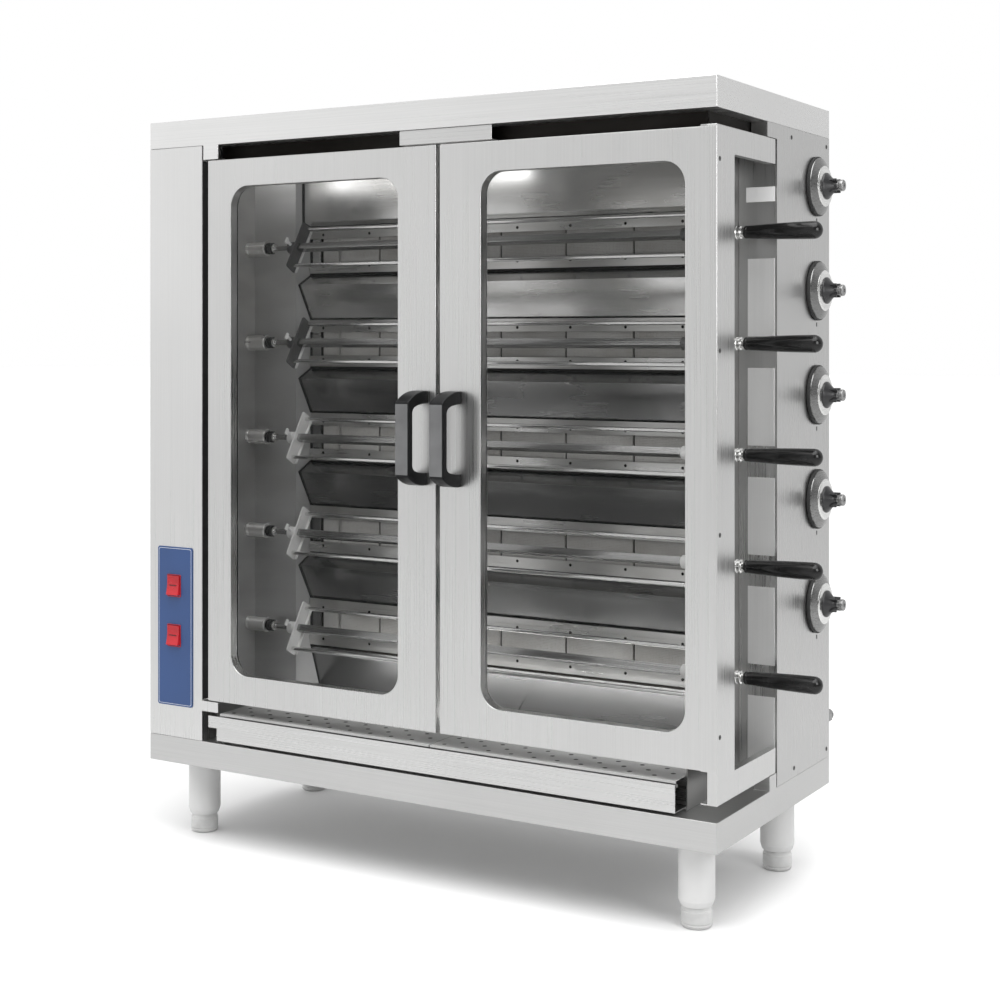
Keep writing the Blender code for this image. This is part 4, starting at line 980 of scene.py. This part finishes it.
def drip_grid():
    """Two perforated sheets side by side, each turned down at its front, over a dark lining of painted shade
    under the holes.
    """
    low, high = node_box("drip_grid")
    top, thin = high.z, 0.0005
    middle, half_joint = (low.x + high.x) / 2, 0.001
    for name, left, right in (("left", low.x, middle - half_joint), ("right", middle + half_joint, high.x)):
        loops = [rectangle(left, right, low.y + 0.0012, high.y, 0.002, 3)] + hole_rows(left, right, low.y)
        sheet = Shape().plate("xy", loops, top - thin, top)
        sheet.block((left, low.y, low.z), (right, low.y + 0.0014, top), 0.0005)
        replaced = ("drip_grid",) if name == "left" else ()
        sheet.piece(f"perforated_sheet_{name}", "grid_steel", "tray", "stainless", *replaced)
    under, thickness, margin = top - thin - 0.0002, 0.0006, 0.004
    lining = Shape().block((low.x + margin, low.y + margin, under - thickness),
                           (high.x - margin, HOLED_TO, under), 0)
    lining.piece("drip_shadow_sheet", "soot", "tray", "stainless")


def drip_tray():
    """The tray's own folded shape, with rounded edges."""
    refined("drip_tray", "tray_pan", "tray_steel", "tray", "stainless", 0.0005)


# ---- controls and small fittings


def control_panel():
    """Blue printed plate with a pale border line, and a dark red bezel round each rocker."""
    low, high = node_box("control_panel")

    def inside(gap, radius):
        return rectangle(low.x + gap, high.x - gap, low.z + gap, high.z - gap, radius, 6)

    plate = Shape().plate("xz", [inside(0, 0.005)], low.y, -GAP, 0.0004)
    bezels = Shape()
    wide, tall, rim = 0.0172, 0.0219, 0.0014
    for number, z in enumerate(ROCKER_Z, 1):
        x = node_middle(f"rocker_switch_{number}").x
        plate.block((x - 0.0183, -GAP, z - 0.0228), (x + 0.0183, 0.0212, z + 0.0228), 0)
        loops = [rectangle(x - wide, x + wide, z - tall, z + tall, 0.002, 5),
                 rectangle(x - wide + rim, x + wide - rim, z - tall + rim, z + tall - rim, 0.0012, 5)]
        bezels.plate("xz", loops, low.y - 0.0014, low.y + 0.0006, 0.0004)
    plate.piece("blue_plate", "blue", "cabinet", "blue_panel", "control_panel")
    inset, line = 0.0028, 0.0007
    border = Shape().plate("xz", [inside(inset, 0.004), inside(inset + line, 0.004)],
                           low.y - 0.0001, low.y + 0.0002)
    border.piece("panel_border", "print_white", "cabinet", "blue_panel")
    bezels.piece("rocker_bezels", "red_dark", "cabinet", "red_plastic")


def rocker(number):
    """Red rocker with a dished face and a black strip across its middle, the painted shade of a groove."""
    low, high = node_box(f"rocker_switch_{number}")
    x, z = node_middle(f"rocker_switch_{number}").x, ROCKER_Z[number - 1]
    pivot, lean = (x, 0.003, z), math.radians(-6)
    half, proud, dish = 0.019, 0.0082, 0.002
    rises = [half * (1 - step / 6) for step in range(1, 12)]
    face = [(-proud + dish * (1 - (rise / half) ** 2), rise) for rise in rises]
    upper = [(0.0095, 0.016), (-0.004, half), (-proud, half)]
    lower = [(y, -rise) for y, rise in reversed(upper)]
    outline = [(y, z + rise) for y, rise in upper + face + lower]
    body = f"rocker_body_{number}"
    shape = Shape().plate("yz", [outline], low.x, high.x, 0.0008).turn(pivot, "X", lean)
    shape.piece(f"red_rocker_{number}", "red", body, "red_plastic", f"rocker_switch_{number}")
    # Painted shade: a black strip for the dark of the groove across the rocker
    wide, tall = 0.009, 0.0007
    line = Shape().block((x - wide, -proud + 0.0012, z - tall), (x + wide, -proud + 0.003, z + tall), 0.0002)
    line.turn(pivot, "X", lean).piece(f"rocker_groove_shade_{number}", "rubber", body, "red_plastic")


def recess():
    """Satin plates on the recess's back flange, and the strap across it."""
    back, left, right = 0.2588, 1.1655, 1.2155
    heights = [axis.z for axis in SPIT_AXES]
    bottoms = [0.24] + [z + 0.0125 for z in heights[:-1]]
    # Partly real plates, partly painted reflection: the darker flange left bare at the handle heights paints
    # the handles' dark reflections
    plates = Shape()
    for low, z in zip(bottoms, heights):
        plates.block((left, back - 0.0012, low), (right, back + 0.0004, z - 0.043), 0.0004)
    plates.piece("recess_plates", "satin_steel", "cabinet", "stainless")
    low, high = 1.2245, 1.2505
    strap = Shape().block((left - 0.0015, 0.2535, low), (WIDTH - 0.0022, 0.2552, high), 0.0005)
    strap.block((left - 0.0015, 0.2545, low), (left, back, high), 0.0004)
    strap.piece("recess_strap", "steel_bright", "cabinet", "stainless")


def vent_shade_lining():
    """Black sheets of painted shade behind the slots under the cap, at the front and round the right corner.
    """
    low, high = 1.3335, 1.36
    lining = Shape().block((0.15, 0.0415, low), (1.186, 0.0425, high), 0.0003)
    lining.block((1.1865, 0.0415, low), (1.1875, 0.24, high), 0.0003)
    lining.piece("vent_shade_lining", "soot", "cabinet", "chamber_steel")


def hinge_gap_shade_strip():
    """Black strip of painted shade on the column's return, behind the left door's hinge gap."""
    face, thickness = COLUMN_RIGHT + 0.0001, 0.0004
    bottom, top = RIGHT_LEAF_Z
    Shape().block((face, 0.001, bottom), (face + thickness, 0.04, top), 0).piece(
        "hinge_gap_shade_strip", "rubber", "cabinet", "black_plastic")


def screws():
    """Small dark pan heads where the sheets are fixed."""
    side_face, rear_face = WIDTH - 0.0002, DEPTH - 0.0002
    door = [(side_face, 0.012, z) for z in (1.277, 0.965, 0.666, 0.338)]
    side = [(side_face, y, z) for y, z in ((0.328, 1.343), (0.34, 0.217), (0.505, 1.343), (0.505, 0.217))]
    rear = [(x, rear_face, z) for x in (0.03, 0.32, 0.61, 0.9, WIDTH - 0.03) for z in (0.225, 1.338)]
    rear += [(x, rear_face, z) for x in (0.02, WIDTH - 0.02) for z in (0.5, 0.78, 1.06)]
    screw_heads("return_screws", "right_door", "x", door, 0.0042)
    screw_heads("side_screws", "cabinet", "x", side, 0.0042)
    screw_heads("rear_screws", "cabinet", "y", rear, 0.0034)


# ---- camera, lights and floor


def studio():
    """White paper floor, which reflects less light on to the object than the camera sees."""
    shape = bpy.data.meshes.new("floor")
    size = 40
    shape.from_pydata([(-size, -size, 0), (size, -size, 0), (size, size, 0), (-size, size, 0)], [],
                      [(0, 1, 2, 3)])
    floor = linked("floor", shape)
    material, tree, shader = new_material("floor_paper", (0.97, 0.97, 0.97), 0.9)
    seen = shader_node(tree, "LightPath").outputs["Is Camera Ray"]
    paper = mixed(tree, noise(tree, 3), (0.975, 0.975, 0.975), (0.965, 0.965, 0.965))
    tree.links.new(mixed(tree, seen, (0.7, 0.7, 0.7), paper), shader.inputs["Base Color"])
    shape.materials.append(material)


def toward(tree, direction):
    """How far a ray points in a direction, from -1 to 1."""
    node = shader_node(tree, "VectorMath")
    node.operation = "DOT_PRODUCT"
    node.inputs[1].default_value = direction
    ray = shader_node(tree, "TexCoord").outputs["Generated"]
    tree.links.new(ray, node.inputs[0])
    return node.outputs["Value"]


def surroundings():
    """White backdrop for the camera; other rays see a studio with a darker and a brighter side."""
    world = bpy.data.worlds.new("studio")
    bpy.context.scene.world = world
    world.use_nodes = True
    tree = world.node_tree
    backdrop = tree.nodes["Background"]
    backdrop.inputs["Color"].default_value = (1, 1, 1, 1)
    backdrop.inputs["Strength"].default_value = 1.0
    strength = summed(tree, spread(tree, toward(tree, DARK_SIDE), 1.0, 0.22, 0.35, 0.8),
                      spread(tree, toward(tree, BRIGHT_SIDE), 0, 0.75, 0.66, 0.97))
    studio_light = shader_node(tree, "Background", Strength=strength)
    blend = shader_node(tree, "MixShader", Fac=shader_node(tree, "LightPath").outputs["Is Camera Ray"])
    tree.links.new(studio_light.outputs["Background"], blend.inputs[1])
    tree.links.new(backdrop.outputs["Background"], blend.inputs[2])
    tree.links.new(blend.outputs["Shader"], tree.nodes["World Output"].inputs["Surface"])


def soft_light(name, place, target, size, power):
    """A rectangular light that faces a target; both places are in cabinet coordinates."""
    light = bpy.data.lights.new(name, "AREA")
    light.shape = "RECTANGLE"
    light.size, light.size_y = size
    light.energy = power
    obj = linked(name, light)
    obj.location = Vector(place) + CORNER
    obj.rotation_euler = (Vector(target) - Vector(place)).to_track_quat("-Z", "Y").to_euler()


def lights():
    """Large soft lights above and beside, weak ones in the chamber, and the ceiling's glow."""
    soft_light("overhead", (1.26, -0.75, 3.4), (0.66, 0.25, 0.2), (3.0, 3.0), 60)
    soft_light("side_fill", (2.6, -0.5, 1.3), (1.2, 0.2, 0.75), (0.8, 0.8), 12)
    soft_light("chamber_fill", (0.33, 0.055, 1.322), (0.33, 0.26, 1.24), (0.55, 0.03), 0.15)
    soft_light("tray_fill", (0.68, 0.2, 0.29), (0.68, 0.34, 0.215), (0.78, 0.02), 1.4)
    sky = bpy.data.lights.new("ceiling_glow", "SUN")
    sky.energy = 1.35
    sky.angle = math.radians(70)
    linked("ceiling_glow", sky).rotation_euler = (math.radians(14), math.radians(8), 0)


def camera():
    lens = bpy.data.cameras.new("camera")
    lens.lens = CAMERA_LENS
    lens.sensor_width = 36
    lens.shift_y = CAMERA_SHIFT
    obj = linked("camera", lens)
    obj.location = Vector(CAMERA_PLACE) + CORNER
    obj.rotation_euler = (math.pi / 2, 0, CAMERA_TURN)
    bpy.context.scene.camera = obj


def paint(nodes, material):
    """Give carried-over CAD nodes a finished material."""
    for node in nodes:
        NODES[node].data.materials.clear()
        NODES[node].data.materials.append(MATERIALS[material])


def carried_over():
    """CAD nodes whose own shape shows keep it, with a finished material."""
    paint(["chamber_left_wall", "chamber_ceiling"], "chamber")
    paint(["chamber_right_wall"], "steel_recess")
    paint(["gas_manifold"], "union")
    paint(["gear_motor", "bearing_bar"], "drive")


def main():
    camera()
    studio()
    surroundings()
    lights()
    cabinet_sheets()
    legs()
    door("left", LEFT_DOOR, LEFT_DOOR[1].x)
    door("right", RIGHT_DOOR, WIDTH, return_sheet())
    for level in range(LEVELS):
        spit(level)
        spit_rings(level)
        spit_handle(level)
        drive_spindle(level)
        burner(level)
        gas_knob(level)
    drive_train()
    reflector_joints()
    gas_pipe()
    drip_tray()
    drip_grid()
    control_panel()
    rocker(1)
    rocker(2)
    recess()
    vent_shade_lining()
    hinge_gap_shade_strip()
    screws()
    carried_over()


main()
bpy.context.scene.view_settings.view_transform = "Standard"
bpy.context.view_layer.update()
